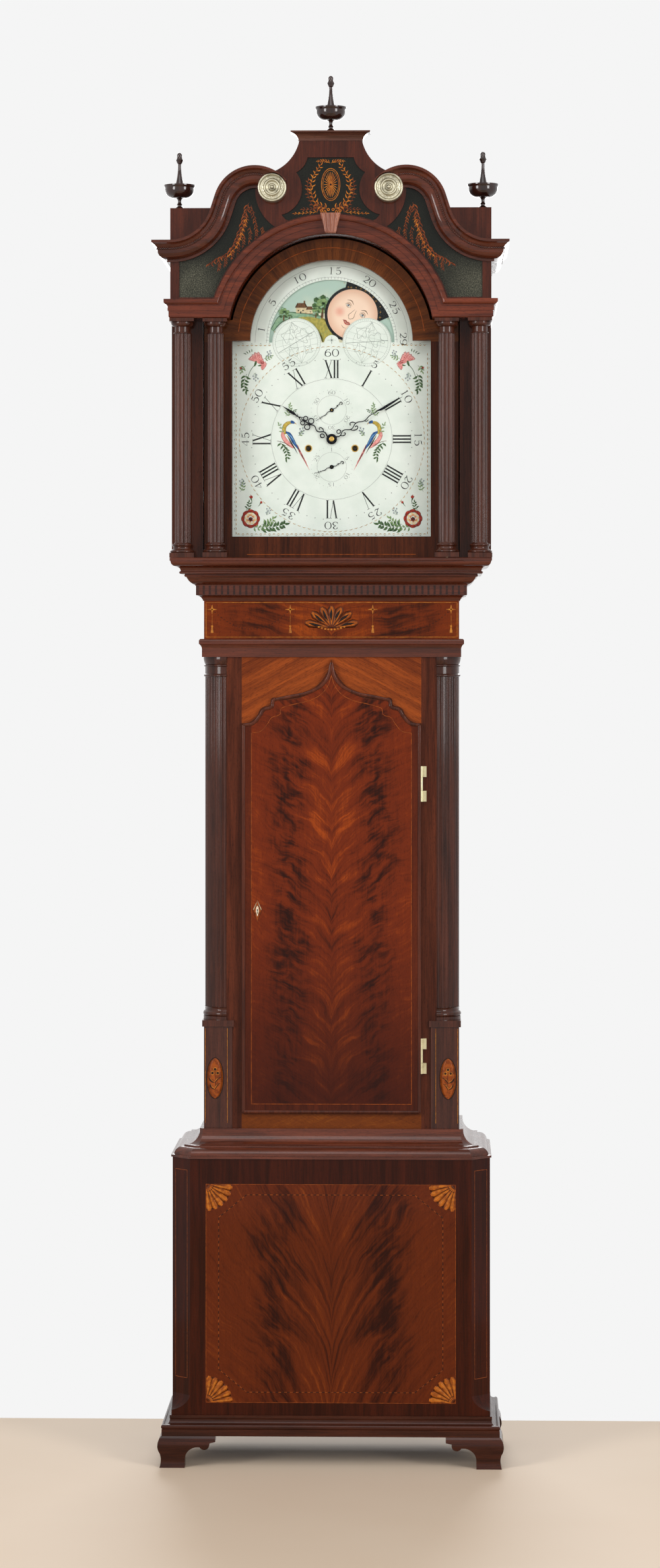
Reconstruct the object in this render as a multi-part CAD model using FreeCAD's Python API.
import FreeCAD, Part
import math
import os

# Longcase clock: mahogany case, sliding hood, two doors and an eight-day movement.
# Millimetres, +Z up, origin on the floor under the middle of the case, front towards -Y.
# A depth, called d, is measured forward from the flat back of the case.

# Case heights, from the floor up to the hood
FOOT_HEIGHT = 54.0
PLINTH_HEIGHT = 33.5
BASE_HEIGHT = 440.5
WAIST_HEIGHT = 47.0
PEDESTAL_HEIGHT = 187.0
TRUNK_COLUMN_HEIGHT = 629.6
FRIEZE_MOULDING_HEIGHT = 31.4
FRIEZE_HEIGHT = 66.0
SEAT_MOULDING_HEIGHT = 46.0
HOOD_BASE_HEIGHT = 27.6

# Boards and steps of the case: each stage stands proud of the one above or below by its step
TRUNK_FRONT = 200.0
TRUNK_ARRIS = 1.0
HOOD_STEP = 55.0
BASE_STEP = 53.0
PLINTH_STEP = 16.0
WAIST_PROUD = 2.5
BOARD = 16.0
HOOD_BOARD = 13.0
BACKBOARD = 14.0
FRAME_BOARD = 22.0
ROOF_BOARD = 12.0
HOOD_BACK_GAP = 2.0
HOOD_CHEEK_GAP = 14.0
HOOD_RAIL = 20.0
BACKBOARD_TOP_GAP = 12.0
BASE_STOP_RISE = 8.5
BASE_STOP_SCOOP = 35.0

# Bracket feet
FOOT_PROUD = 6.5
FOOT_WING = 99.0
FOOT_TOE = 46.5
FOOT_ARCH = 45.0
FOOT_BLOCK = 6.0

# Trunk corner columns and their pedestals
CORNER_RADIUS = 39.0
CORNER_BEAD = 3.0
CORNER_FLUTES = 9
CORNER_BASE_HEIGHT = 22.0
CORNER_CAPITAL_HEIGHT = 34.0
PEDESTAL_FACE = 2.0
PEDESTAL_OVERLAP = 10.0
PEDESTAL_CAP = 11.0
PEDESTAL_CAP_PROUD = 3.0

# Dentil moulding that carries the hood
DENTIL_PITCH = 10.5
DENTIL_WIDTH = 6.6
DENTIL_PROUD = 3.0
DENTIL_BAND = 10.5
DENTIL_RISE = 10.5
DENTIL_HEIGHT = 15.5

# Trunk door, with its lip in front of the frame and its core inside the opening
DOOR_STILE = 26.5
DOOR_HEAD_GAP = 4.6
DOOR_PEAK = 110.0
DOOR_SILL = 25.5
DOOR_REBATE = 15.5
DOOR_LIP = 7.7
DOOR_LIP_GAP = 0.3
DOOR_CORE = 14.0
DOOR_CORE_GAP = 1.0
HINGE_PIN_RADIUS = 1.5
HINGE_CLEARANCE = 0.05
HINGE_KNUCKLE_RADIUS = 3.2
HINGE_LENGTH = 61.0
HINGE_MID = 24.0
HINGE_SWING_GAP = 0.4
HINGE_LEAF = 9.0
HINGE_LEAF_THICKNESS = 1.2
UPPER_HINGE_DROP = 105.0
LOWER_HINGE_RISE = 100.5
ESCUTCHEON_INSET = 27.5
ESCUTCHEON_RISE = 351.5
ESCUTCHEON_HALF = 7.0
ESCUTCHEON_REACH = 18.0
ESCUTCHEON_PLATE = 1.0
KEYHOLE_HALF = 1.0
LOCK_WIDTH = 34.0
LOCK_HEIGHT = 48.0
LOCK_DEPTH = 11.0

# Dial, with the moon's arch above it: the hood and the case take their width from its sight size
DIAL_SIGHT_HALF = 171.8
DIAL_SIGHT_BELOW = 170.0
DIAL_SIGHT_ABOVE = 169.0
DIAL_MARGIN = 6.2
DIAL_ARCH_RADIUS = 140.5
DIAL_PLATE = 2.0
DIAL_SETBACK = 7.5
DIAL_FOOT_LENGTH = 28.0
DIAL_FOOT_X = 52.0
DIAL_FOOT_RADIUS = 3.0
DIAL_FOOT_INSET = 25.0
MOON_RISE = 168.0
MOON_APERTURE_RADIUS = 109.0
MOON_DISC_LAP = 3.0
MOON_DISC = 1.5
MOON_DISC_GAP = 1.5
MOON_HUB_RADIUS = 13.0
HUMP_X = 61.0
HUMP_RADIUS = 42.4
WINDING_X = 40.3
WINDING_DROP = 16.0
WINDING_HOLE_RADIUS = 5.0
SECONDS_RISE = 50.5
DATE_DROP = 48.3
DATE_ARBOR_RADIUS = 1.5
DATE_ARBOR_TAIL = 8.0

# Hood front: door, columns and break arch
HOOD_DOOR_RAIL = 36.7
HOOD_DOOR_STILE = 48.0
HOOD_DOOR_HEAD = 33.5
HOOD_DOOR_GAP = 2.2
HOOD_DOOR_PLAY = 0.7
ARCH_DOOR_GAP = 4.0
ARCH_LIFT = 3.6
COLUMN_HEAD = 205.2
HOOD_STILE = 54.0
OUTER_COLUMN_INSET = 19.5
INNER_COLUMN_INSET = 22.5
COLUMN_SETBACK = 21.5
COLUMN_PLINTH_HALF = 21.0
COLUMN_PLINTH = 8.4
COLUMN_ABACUS = 5.7
COLUMN_RADIUS = 13.5
COLUMN_TURNING = 26.0
COLUMN_FLUTES = 14
GLASS_THICKNESS = 2.5
GLASS_LAP = 5.0
GLASS_SETBACK = 5.0
GLASS_GAP = 0.2
PIVOT_RADIUS = 2.0
PIVOT_LENGTH = 6.0
PIVOT_END_GAP = 1.0

# Entablature, keystone and pediment board
ENTABLATURE_HEIGHT = 32.0
ENTABLATURE_PROUD = 11.0
ENTABLATURE_SETBACK = 2.5
KEYSTONE_TOP_HALF = 17.4
KEYSTONE_FOOT_HALF = 9.0
KEYSTONE_RISE = 2.2
KEYSTONE_PROUD = 18.0
KEYSTONE_LAP = 4.0
ROOF_CLEARANCE = 0.4
TYMPANUM_SETBACK = 1.0
TYMPANUM_BOARD = 20.0
TYMPANUM_LEDGE = 4.0
TYMPANUM_EDGE = 3.0
PEDIMENT_HALF = 54.0
PEDIMENT_HEIGHT = 127.4
PEDIMENT_WAIST = 12.0
PEDIMENT_WAIST_DROP = 27.0
CAP_HEIGHT = 16.0
CAP_PROUD = 14.4

# Black glass panels of the pediment
GLASS_POCKET = 5.0
PEDIMENT_GLASS = 2.5
SIDE_GLASS_MARGIN = 15.4
ARCH_GLASS_MARGIN = 3.0
SIDE_GLASS_END = 60.0
SIDE_GLASS_TIP = 94.0
MIDDLE_GLASS_HALF = 84.7
MIDDLE_GLASS_DROP = 28.5
MIDDLE_GLASS_HEIGHT = 98.5

# Swan-neck cornice: level run, foot arc, straight rise and crest arc, with a patera on its end
CORNICE_DROP = 57.5
CORNICE_PROUD = 30.5
NECK_LEVEL_RUN = 1.0
NECK_FOOT_RADIUS = 72.0
NECK_TURN = 72.0
NECK_STRAIGHT = 30.0
NECK_CREST_RADIUS = 71.0
NECK_CREST_SWEEP = 122.0
NECK_WIDTH = 36.0
PATERA_REACH = 45.28
PATERA_TURN = 41.03
PATERA_RADIUS = 24.3
PATERA_PROUD = 25.9
PATERA_GAP = 0.4

# Turned finials
FINIAL_INSET = 14.2
FINIAL_SETBACK = 10.0
FINIAL_DISH_RADIUS = 26.8
FINIAL_TIP_RADIUS = 4.4
CROWN_FINIAL_HEIGHT = 97.0
SIDE_FINIAL_HEIGHT = 99.0

# Hands
HOUR_HAND_LENGTH = 103.0
MINUTE_HAND_LENGTH = 143.0
SMALL_HAND_LENGTH = 31.7
SMALL_HAND_TAIL = 23.5
HAND_THICKNESS = 1.0
MINUTE_BOSS_RADIUS = 7.0
HOUR_BOSS_RADIUS = 9.0
SMALL_BOSS_RADIUS = 3.4
SMALL_HAND_GAP = 1.0
HOUR_HAND_GAP = 3.0
MINUTE_HAND_GAP = 5.0
HOUR_HAND_ANGLE = 303.9
MINUTE_HAND_ANGLE = 59.2
SECONDS_HAND_ANGLE = 235.0
DATE_HAND_ANGLE = 248.0

# Movement frame
SEATBOARD = 20.0
SEATBOARD_DROP = 110.0
SEATBOARD_BACK_LAP = 6.0
PLATE_HALF = 66.0
PLATE_HEIGHT = 182.0
PLATE = 3.0
PLATE_SPACING = 60.0
PILLAR_RADIUS = 5.0
PILLAR_X = 58.0
PILLAR_INSET = 8.0
COCK_HALF = 22.0
COCK_FOOT = 6.0
COCK_GAP = 4.0

# Wheels: teeth, modules and places
ARBOR_RADIUS = 2.0
ARBOR_BODY_RADIUS = 1.5
ARBOR_PIVOT_RADIUS = 1.0
ARBOR_SHAKE = 0.5
CANNON_RADIUS = 3.0
HOUR_PIPE_RADIUS = 4.6
BARREL_ARBOR_RADIUS = 3.0
RUNNING_CLEARANCE = 0.05
WHEEL = 2.0
GREAT_WHEEL = 3.0
GREAT_MODULE = 0.834
TRAIN_MODULE = 0.8
MOTION_MODULE = 0.7
ADDENDUM = 0.65
DEDENDUM = 1.05
TOOTH_ROOT_SHARE = 0.23
TOOTH_TIP_SHARE = 0.09
GREAT_TEETH = 96
STRIKE_TEETH = 84
CENTRE_TEETH = 60
THIRD_TEETH = 56
ESCAPE_TEETH = 30
CANNON_TEETH = 40
HOUR_TEETH = 72
PINION_LEAVES = 8
ESCAPE_LEAVES = 7
HOUR_LEAVES = 6
ESCAPE_RADIUS = 19.0
THIRD_X = 7.0
ANCHOR_RISE = 77.4
PALLET_SPAN = 16.5
CRUTCH = 2.0
CRUTCH_HALF = 2.5
CRUTCH_LENGTH = 104.0
MOTION_GAP = 3.0
GREAT_WHEEL_GAP = 4.0
THIRD_WHEEL_GAP = 11.0
ESCAPE_WHEEL_GAP = 25.0
PINION_SPARE = 0.5

# Striking work
PIN_WHEEL_X = -52.0
PIN_WHEEL_RADIUS = 21.0
PIN_WHEEL_PINS = 8
PIN_INSET = 3.0
HAMMER_X = -40.0
HAMMER_RISE = 158.0
HAMMER_GAP = 2.5
HAMMER_HEAD = 9.0
HAMMER_RADIUS = 4.0
BELL_RADIUS = 45.0
BELL_HEIGHT = 34.0
BELL_WALL = 2.0
BELL_RISE = 18.0
BELL_STUD = 14.0
BELL_STUD_RADIUS = 3.0
BELL_SETBACK = 30.0
BELL_ARM = 10.0
BELL_ARM_GAP = 9.0

# Barrels, lines, weights and pendulum
BARREL_RADIUS = 24.0
BARREL_LENGTH = 36.0
BARREL_GAP = 18.0
WINDING_SQUARE = 6.0
LINE_RADIUS = 0.9
LINE_GAP = 0.2
LINE_HOLE_RADIUS = 3.6
PULLEY_RADIUS = 24.0
PULLEY_WIDTH = 8.0
PULLEY_RIM = 2.0
PULLEY_DROP = 70.0
STIRRUP = 2.0
STIRRUP_HALF = 5.0
STIRRUP_GAP = 0.6
WEIGHT_RADIUS = 31.0
WEIGHT_HEIGHT = 225.0
WEIGHT_EDGE = 2.0
WEIGHT_HANGER = 55.0
WEIGHT_HOOK_RADIUS = 3.0
PENDULUM_SETBACK = 14.0
PENDULUM_LENGTH = 994.0
PENDULUM_ROD_RADIUS = 2.0
PENDULUM_TAIL = 24.0
SUSPENSION_HALF = 3.0
BOB_RADIUS = 52.0
BOB_THICKNESS = 28.0
BOB_EDGE = 1.5
RATING_NUT_RADIUS = 7.0
RATING_NUT = 8.0

# Half widths, from the dial outward
HOOD_OPENING_HALF = DIAL_SIGHT_HALF + HOOD_DOOR_STILE + HOOD_DOOR_GAP
HOOD_HALF = HOOD_OPENING_HALF + HOOD_STILE
TRUNK_HALF = HOOD_HALF - HOOD_STEP
BASE_HALF = TRUNK_HALF + BASE_STEP
OUTER_COLUMN_X = HOOD_HALF - OUTER_COLUMN_INSET
INNER_COLUMN_X = HOOD_OPENING_HALF - INNER_COLUMN_INSET
CORNER_AXIS_X = TRUNK_HALF - CORNER_RADIUS
DOOR_HALF = CORNER_AXIS_X - DOOR_STILE
ARCH_RADIUS = DIAL_ARCH_RADIUS + HOOD_DOOR_HEAD + ARCH_DOOR_GAP
ARCH_OUTER = ARCH_RADIUS + ENTABLATURE_HEIGHT
MOON_DISC_RADIUS = MOON_APERTURE_RADIUS + MOON_DISC_LAP
STRIKE_X = -WINDING_X

# Levels that follow from the heights
DIAL_CENTRE = HOOD_DOOR_PLAY + HOOD_DOOR_RAIL + DIAL_SIGHT_BELOW
Z_PLINTH = FOOT_HEIGHT
Z_BASE = Z_PLINTH + PLINTH_HEIGHT
Z_WAIST = Z_BASE + BASE_HEIGHT
Z_PEDESTAL = Z_WAIST + WAIST_HEIGHT
Z_COLUMN = Z_PEDESTAL + PEDESTAL_HEIGHT
Z_FRIEZE_MOULDING = Z_COLUMN + TRUNK_COLUMN_HEIGHT
Z_FRIEZE = Z_FRIEZE_MOULDING + FRIEZE_MOULDING_HEIGHT
Z_SEAT = Z_FRIEZE + FRIEZE_HEIGHT
Z_HOOD = Z_SEAT + SEAT_MOULDING_HEIGHT
Z_HOOD_COLUMN = Z_HOOD + HOOD_BASE_HEIGHT
Z_DIAL = Z_HOOD_COLUMN + DIAL_CENTRE
Z_MOON = Z_DIAL + MOON_RISE
Z_ENTABLATURE = Z_DIAL + COLUMN_HEAD
Z_TYMPANUM = Z_ENTABLATURE + ENTABLATURE_HEIGHT
Z_ARCH = Z_MOON + ARCH_LIFT
Z_ROOF = Z_ARCH + ARCH_OUTER + ROOF_CLEARANCE + ROOF_BOARD
Z_CORNICE = Z_ROOF - CORNICE_DROP
Z_CAP = Z_ARCH + ARCH_OUTER + PEDIMENT_HEIGHT
Z_SEATBOARD = Z_DIAL - SEATBOARD_DROP
Z_PLATES = Z_SEATBOARD + SEATBOARD
Z_DOOR_FOOT = Z_PEDESTAL + DOOR_SILL
Z_DOOR_SHOULDER = Z_FRIEZE_MOULDING - DOOR_HEAD_GAP - DOOR_PEAK
Z_WINDING = Z_DIAL - WINDING_DROP
Z_ESCAPE = Z_DIAL + SECONDS_RISE
Z_ANCHOR = Z_DIAL + ANCHOR_RISE
Z_HAMMER = Z_PLATES + HAMMER_RISE
Z_BELL = Z_PLATES + PLATE_HEIGHT + BELL_RISE
Z_PULLEY = Z_SEATBOARD - PULLEY_DROP
Z_BOB = Z_ANCHOR - PENDULUM_LENGTH

# Depths, forward from the back
HOOD_FRONT = TRUNK_FRONT + HOOD_STEP
BASE_FRONT = TRUNK_FRONT + BASE_STEP
BASE_CANT = TRUNK_ARRIS + BASE_STEP * (2.0 - math.sqrt(2.0))
CORNER_AXIS_DEPTH = TRUNK_FRONT - CORNER_RADIUS
TRUNK_FRAME_BACK = TRUNK_FRONT - FRAME_BOARD
COLUMN_DEPTH = HOOD_FRONT - COLUMN_SETBACK
FRAME_FRONT = COLUMN_DEPTH - COLUMN_PLINTH_HALF
FRAME_BACK = FRAME_FRONT - FRAME_BOARD
TYMPANUM_FRONT = HOOD_FRONT - TYMPANUM_SETBACK
TYMPANUM_BACK = TYMPANUM_FRONT - TYMPANUM_BOARD
ENTABLATURE_FACE = TYMPANUM_FRONT - ENTABLATURE_SETBACK
OVERALL_DEPTH = TYMPANUM_FRONT + CORNICE_PROUD
DIAL_FRONT = FRAME_BACK - DIAL_SETBACK
DIAL_BACK = DIAL_FRONT - DIAL_PLATE
FRONT_OUTSIDE = DIAL_BACK - DIAL_FOOT_LENGTH
FRONT_PLATE_DEPTH = FRONT_OUTSIDE - PLATE
BACK_PLATE_DEPTH = FRONT_PLATE_DEPTH - PLATE_SPACING
BACK_INSIDE = BACK_PLATE_DEPTH + PLATE
PENDULUM_DEPTH = BACK_PLATE_DEPTH - PENDULUM_SETBACK
SEATBOARD_BACK = BACK_PLATE_DEPTH - SEATBOARD_BACK_LAP
BARREL_DEPTH = BACK_PLATE_DEPTH + BARREL_GAP
BELL_DEPTH = BACK_PLATE_DEPTH + BELL_SETBACK
LINE_DEPTH = BARREL_DEPTH + BARREL_LENGTH / 2.0
GREAT_WHEEL_DEPTH = BACK_INSIDE + GREAT_WHEEL_GAP
THIRD_WHEEL_DEPTH = BACK_INSIDE + THIRD_WHEEL_GAP
ESCAPE_WHEEL_DEPTH = BACK_INSIDE + ESCAPE_WHEEL_GAP
CENTRE_WHEEL_DEPTH = FRONT_PLATE_DEPTH - 2.0 * WHEEL
MOTION_DEPTH = FRONT_OUTSIDE + MOTION_GAP

# Centres of the wheels in mesh
MOTION_DISTANCE = MOTION_MODULE * CANNON_TEETH
HOUR_MODULE = 2.0 * MOTION_DISTANCE / (HOUR_TEETH + HOUR_LEAVES)
Z_MINUTE_WHEEL = Z_DIAL - MOTION_DISTANCE
THIRD_REACH = TRAIN_MODULE * (CENTRE_TEETH + PINION_LEAVES) / 2.0
Z_THIRD = Z_DIAL + math.sqrt(THIRD_REACH ** 2 - THIRD_X ** 2)
PIN_WHEEL_REACH = GREAT_MODULE * (STRIKE_TEETH + PINION_LEAVES) / 2.0
Z_PIN_WHEEL = Z_WINDING + math.sqrt(PIN_WHEEL_REACH ** 2 - (PIN_WHEEL_X - STRIKE_X) ** 2)


def vec(x, d, z):
    """A point from its place across, its depth forward of the back and its height."""
    return FreeCAD.Vector(x, OVERALL_DEPTH / 2.0 - d, z)


ACROSS = FreeCAD.Vector(1, 0, 0)
FORWARD = FreeCAD.Vector(0, -1, 0)
UP = FreeCAD.Vector(0, 0, 1)


def box(x0, x1, d0, d1, z0, z1):
    return Part.makeBox(x1 - x0, d1 - d0, z1 - z0, vec(x0, d1, z0))


def both(shape):
    """The shape and its mirror image on the other side of the clock."""
    return [shape, shape.mirror(FreeCAD.Vector(0, 0, 0), ACROSS)]


def fuse(shapes):
    whole = shapes[0]
    if len(shapes) > 1:
        whole = whole.multiFuse(shapes[1:])
    return whole.removeSplitter()


def group(shapes):
    """Separate solids that share one node."""
    solids = []
    for shape in shapes:
        solids.extend(shape.Solids)
    return Part.makeCompound(solids)


def outline(place, start, *steps):
    """A closed face: each step is a point to run straight to, or a pair (through, end) for an arc."""
    edges = []
    here = start
    for step in steps + (start,):
        if isinstance(step[0], tuple):
            through, there = step
            edges.append(Part.Arc(place(here), place(through), place(there)).toShape())
        else:
            there = step
            if math.dist(here, there) > 1e-6:
                edges.append(Part.LineSegment(place(here), place(there)).toShape())
        here = there
    return Part.Face(Part.Wire(edges))


def slab(d0, d1, start, *steps):
    """A board of the given outline, seen from the front as (x, z), between two depths."""
    face = outline(lambda p: vec(p[0], d0, p[1]), start, *steps)
    return face.extrude(FORWARD * (d1 - d0))


def prism(z0, z1, start, *steps):
    """An upright piece of the given plan, as (x, d), between two heights."""
    face = outline(lambda p: vec(p[0], p[1], z0), start, *steps)
    return face.extrude(UP * (z1 - z0))


def rod(x, z, radius, d0, d1):
    """A round bar that runs from front to back."""
    return Part.makeCylinder(radius, d1 - d0, vec(x, d0, z), FORWARD)


def post(x, d, radius, z0, z1):
    """A round bar that stands upright."""
    return Part.makeCylinder(radius, z1 - z0, vec(x, d, z0), UP)


def turned(x, d, z, start, *steps):
    """A piece turned about an upright axis, from its profile as (radius, height)."""
    face = outline(lambda p: vec(x + p[0], d, z + p[1]), start, *steps)
    return face.revolve(vec(x, d, z), UP, 360.0)


def turned_forward(x, d, z, start, *steps):
    """A piece turned about a front-to-back axis, from its profile as (radius, forward)."""
    face = outline(lambda p: vec(x + p[0], d + p[1], z), start, *steps)
    return face.revolve(vec(x, d, z), FORWARD, 360.0)


def dome(reach, rise, top):
    """The arc step of a round cap, from its rim at reach to its top on the axis."""
    radius = (reach ** 2 + rise ** 2) / (2.0 * rise)
    across = 0.6 * reach
    return (across, top - radius + math.sqrt(radius ** 2 - across ** 2)), (0.0, top)


def square_plan(half, front, back=0.0):
    return [(-half, back), (-half, front), (half, front), (half, back)]


def canted_plan(half, front, cant):
    return [(-half, 0.0), (-half, front - cant), (-half + cant, front),
            (half - cant, front), (half, front - cant), (half, 0.0)]


def moulding(plan, reach, start, *steps):
    """A moulding mitred round a plan: its profile is (outward, height) and stays within reach."""
    inner, outer = reach
    normals = []
    for (x0, d0), (x1, d1) in zip(plan, plan[1:]):
        length = math.hypot(x1 - x0, d1 - d0)
        normals.append(((d0 - d1) / length, (x1 - x0) / length))
    mitres = [normals[0]]
    for (ax, ad), (bx, bd) in zip(normals, normals[1:]):
        spread = 1.0 + ax * bx + ad * bd
        mitres.append(((ax + bx) / spread, (ad + bd) / spread))
    mitres.append(normals[-1])
    heights = [start[1]]
    for step in steps:
        heights.append(step[1][1] if isinstance(step[0], tuple) else step[1])
    low = min(heights) - 1.0
    high = max(heights) + 1.0
    runs = []
    for i, (nx, nd) in enumerate(normals):
        (x0, d0), (x1, d1) = plan[i], plan[i + 1]
        ux, ud = nd, -nx
        spare = 4.0 * max(abs(inner), abs(outer), 1.0)
        sx, sd = x0 - ux * spare, d0 - ud * spare
        face = outline(lambda p: vec(sx + nx * p[0], sd + nd * p[0], p[1]), start, *steps)
        length = math.hypot(x1 - x0, d1 - d0) + 2.0 * spare
        run = face.extrude(FreeCAD.Vector(ux * length, -ud * length, 0))
        corners = []
        for j, distance in ((i, inner), (i + 1, inner), (i + 1, outer), (i, outer)):
            corners.append((plan[j][0] + mitres[j][0] * distance, plan[j][1] + mitres[j][1] * distance))
        runs.append(run.common(prism(low, high, *corners)))
    return fuse(runs)


def fluted(x, d, radius, flutes, z0, z1, first=0.0, sweep=360.0):
    """A fluted shaft, or a sector of one whose flat faces meet on its axis."""
    pitch = math.radians(sweep) / flutes
    turn = math.radians(first)
    land = 0.2 * pitch
    depth = 0.25 * pitch * radius

    def at(angle, distance):
        return (x + distance * math.cos(angle), d + distance * math.sin(angle))

    whole = sweep >= 360.0
    start = at(turn, radius) if whole else (x, d)
    steps = [] if whole else [at(turn, radius)]
    for i in range(flutes):
        begin = turn + i * pitch
        steps.append((at(begin + land / 4.0, radius), at(begin + land / 2.0, radius)))
        steps.append((at(begin + pitch / 2.0, radius - depth), at(begin + pitch - land / 2.0, radius)))
        steps.append((at(begin + pitch - land / 4.0, radius), at(begin + pitch, radius)))
    return prism(z0, z1, start, *steps)


# Case below the hood


def backboard():
    base = box(-BASE_HALF + BOARD, BASE_HALF - BOARD, 0, BACKBOARD, Z_PLINTH, Z_WAIST)
    trunk = box(-TRUNK_HALF, TRUNK_HALF, 0, BACKBOARD, Z_WAIST, Z_HOOD)
    half = TRUNK_HALF + HOOD_CHEEK_GAP - HOOD_DOOR_GAP
    hood = box(-half, half, 0, BACKBOARD, Z_HOOD, Z_ROOF - ROOF_BOARD - BACKBOARD_TOP_GAP)
    return fuse([base, trunk, hood])


def base_boards():
    """Front panel, two sides and two canted corner posts with scooped stops at the foot."""
    shoulder = BASE_HALF - BASE_CANT
    cant_depth = BASE_FRONT - BASE_CANT
    front = box(-shoulder, shoulder, BASE_FRONT - BOARD, BASE_FRONT, Z_PLINTH, Z_WAIST)
    side = box(BASE_HALF - BOARD, BASE_HALF, 0, cant_depth, Z_PLINTH, Z_WAIST)
    cant = prism(Z_PLINTH, Z_WAIST, (BASE_HALF - BOARD, cant_depth), (BASE_HALF, cant_depth),
                 (shoulder, BASE_FRONT), (shoulder, BASE_FRONT - BOARD))
    stop_top = Z_BASE + BASE_STOP_RISE
    scoop_top = stop_top + BASE_STOP_SCOOP
    corner = ((BASE_HALF, cant_depth), (BASE_HALF, BASE_FRONT), (shoulder, BASE_FRONT))
    block = prism(Z_PLINTH, stop_top, *corner)
    deep = BASE_CANT / math.sqrt(2.0)
    slope = math.sqrt(0.5)

    def on_cant(p):
        """Points square to the cant: outward from its face, then height."""
        x = BASE_HALF - BASE_CANT / 2.0 - BASE_CANT * slope + p[0] * slope
        d = BASE_FRONT - BASE_CANT / 2.0 + BASE_CANT * slope + p[0] * slope
        return vec(x, d, p[1])

    scoop = outline(on_cant, (0.0, stop_top), (deep, stop_top),
                    ((0.3 * deep, stop_top + 0.29 * BASE_STOP_SCOOP), (0.0, scoop_top)))
    run = 2.0 * BASE_CANT * slope
    scoop = scoop.extrude(FreeCAD.Vector(run, run, 0))
    scoop = scoop.common(prism(stop_top, scoop_top, *corner))
    corner_post = fuse([cant, block, scoop])
    return group([front] + both(side) + both(corner_post))


def plinth_moulding():
    top = Z_BASE
    low = Z_PLINTH
    step = PLINTH_STEP
    return moulding(square_plan(BASE_HALF, BASE_FRONT), (0.0, step + 1.0),
                    (0.0, low), (step, low), (step, low + 11.5),
                    (step - 1.0, low + 12.0), ((step + 0.8, low + 15.5), (step - 1.0, low + 19.0)),
                    (step - 3.0, low + 19.5), ((3.8, low + 21.5), (3.0, top - 5.0)),
                    (3.0, top - 5.0), (3.0, top), (0.0, top))


def bracket_feet():
    """Ogee bracket feet: two mitred in front and one under each back corner."""
    out = PLINTH_STEP + FOOT_PROUD
    top = FOOT_HEIGHT
    inner = -FOOT_BLOCK
    profile = ((inner, 0.0), (out - 3.0, 0.0), ((out - 5.0, 0.15 * top), (out - 3.5, 0.45 * top)),
               ((out, 0.78 * top), (out - 5.5, top)), (inner, top))
    half = BASE_HALF
    front = BASE_FRONT
    ring = moulding(square_plan(half, front), (inner, out + 1.0), *profile)
    toe_x = half + out - FOOT_TOE
    wing_x = half + out - FOOT_WING
    toe_d = front + out - FOOT_TOE
    wing_d = front + out - FOOT_WING
    front_cut = slab(front - 8.0, front + out + 2.0, (-toe_x, -1.0), (-toe_x, 0.3 * FOOT_ARCH),
                     ((-toe_x + 12.0, 0.75 * FOOT_ARCH), (-toe_x + 26.0, 0.8 * FOOT_ARCH)),
                     ((-toe_x + 34.0, 0.7 * FOOT_ARCH), (-toe_x + 42.0, 0.95 * FOOT_ARCH)),
                     (-wing_x, FOOT_ARCH), (-wing_x, top + 1.0), (wing_x, top + 1.0), (wing_x, FOOT_ARCH),
                     (toe_x - 42.0, 0.95 * FOOT_ARCH),
                     ((toe_x - 34.0, 0.7 * FOOT_ARCH), (toe_x - 26.0, 0.8 * FOOT_ARCH)),
                     ((toe_x - 12.0, 0.75 * FOOT_ARCH), (toe_x, 0.3 * FOOT_ARCH)), (toe_x, -1.0))
    side_face = outline(lambda p: vec(-half - out - 2.0, p[0], p[1]), (FOOT_TOE, -1.0),
                        (FOOT_TOE, 0.3 * FOOT_ARCH),
                        ((FOOT_TOE + 8.0, 0.7 * FOOT_ARCH), (FOOT_TOE + 20.0, FOOT_ARCH)),
                        (FOOT_TOE + 20.0, top + 1.0), (wing_d, top + 1.0), (wing_d, FOOT_ARCH),
                        (toe_d - 42.0, 0.95 * FOOT_ARCH),
                        ((toe_d - 34.0, 0.7 * FOOT_ARCH), (toe_d - 26.0, 0.8 * FOOT_ARCH)),
                        ((toe_d - 12.0, 0.75 * FOOT_ARCH), (toe_d, 0.3 * FOOT_ARCH)), (toe_d, -1.0))
    side_cut = side_face.extrude(ACROSS * (2.0 * (half + out + 2.0)))
    keep_front = box(-half + 5.0, half - 5.0, front - 7.0, front + out + 2.0, -2.0, top + 2.0)
    ring = ring.cut(front_cut.common(keep_front)).cut(side_cut)
    return group([ring])


def waist_moulding():
    low = Z_WAIST
    top = Z_PEDESTAL
    out = BASE_STEP + WAIST_PROUD
    plan = canted_plan(TRUNK_HALF, TRUNK_FRONT, TRUNK_ARRIS)
    return moulding(plan, (0.0, out + 1.0),
                    (0.0, low), (out, low), (out, low + 4.0), (out - 5.0, low + 5.0),
                    ((out - 9.0, low + 13.0), (out - 22.0, low + 17.0)), (out - 22.0, low + 20.0),
                    (out - 30.0, low + 20.0), ((14.0, top - 20.0), (7.0, top - 6.0)),
                    (7.0, top), (0.0, top))


def trunk_sides():
    inner = TRUNK_HALF - BOARD
    side = box(inner, TRUNK_HALF, BACKBOARD, CORNER_AXIS_DEPTH, Z_WAIST, Z_SEATBOARD)
    collar = box(inner, TRUNK_HALF, CORNER_AXIS_DEPTH, TRUNK_FRAME_BACK, Z_FRIEZE_MOULDING, Z_HOOD)
    return group(both(fuse([side, collar])))


def trunk_front_frame():
    board = box(-CORNER_AXIS_X, CORNER_AXIS_X, TRUNK_FRAME_BACK, TRUNK_FRONT, Z_WAIST, Z_FRIEZE_MOULDING)
    half = DOOR_HALF - DOOR_REBATE
    low = Z_DOOR_FOOT + DOOR_REBATE
    high = Z_DOOR_SHOULDER - DOOR_REBATE
    return board.cut(box(-half, half, TRUNK_FRAME_BACK, TRUNK_FRONT, low, high))


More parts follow.
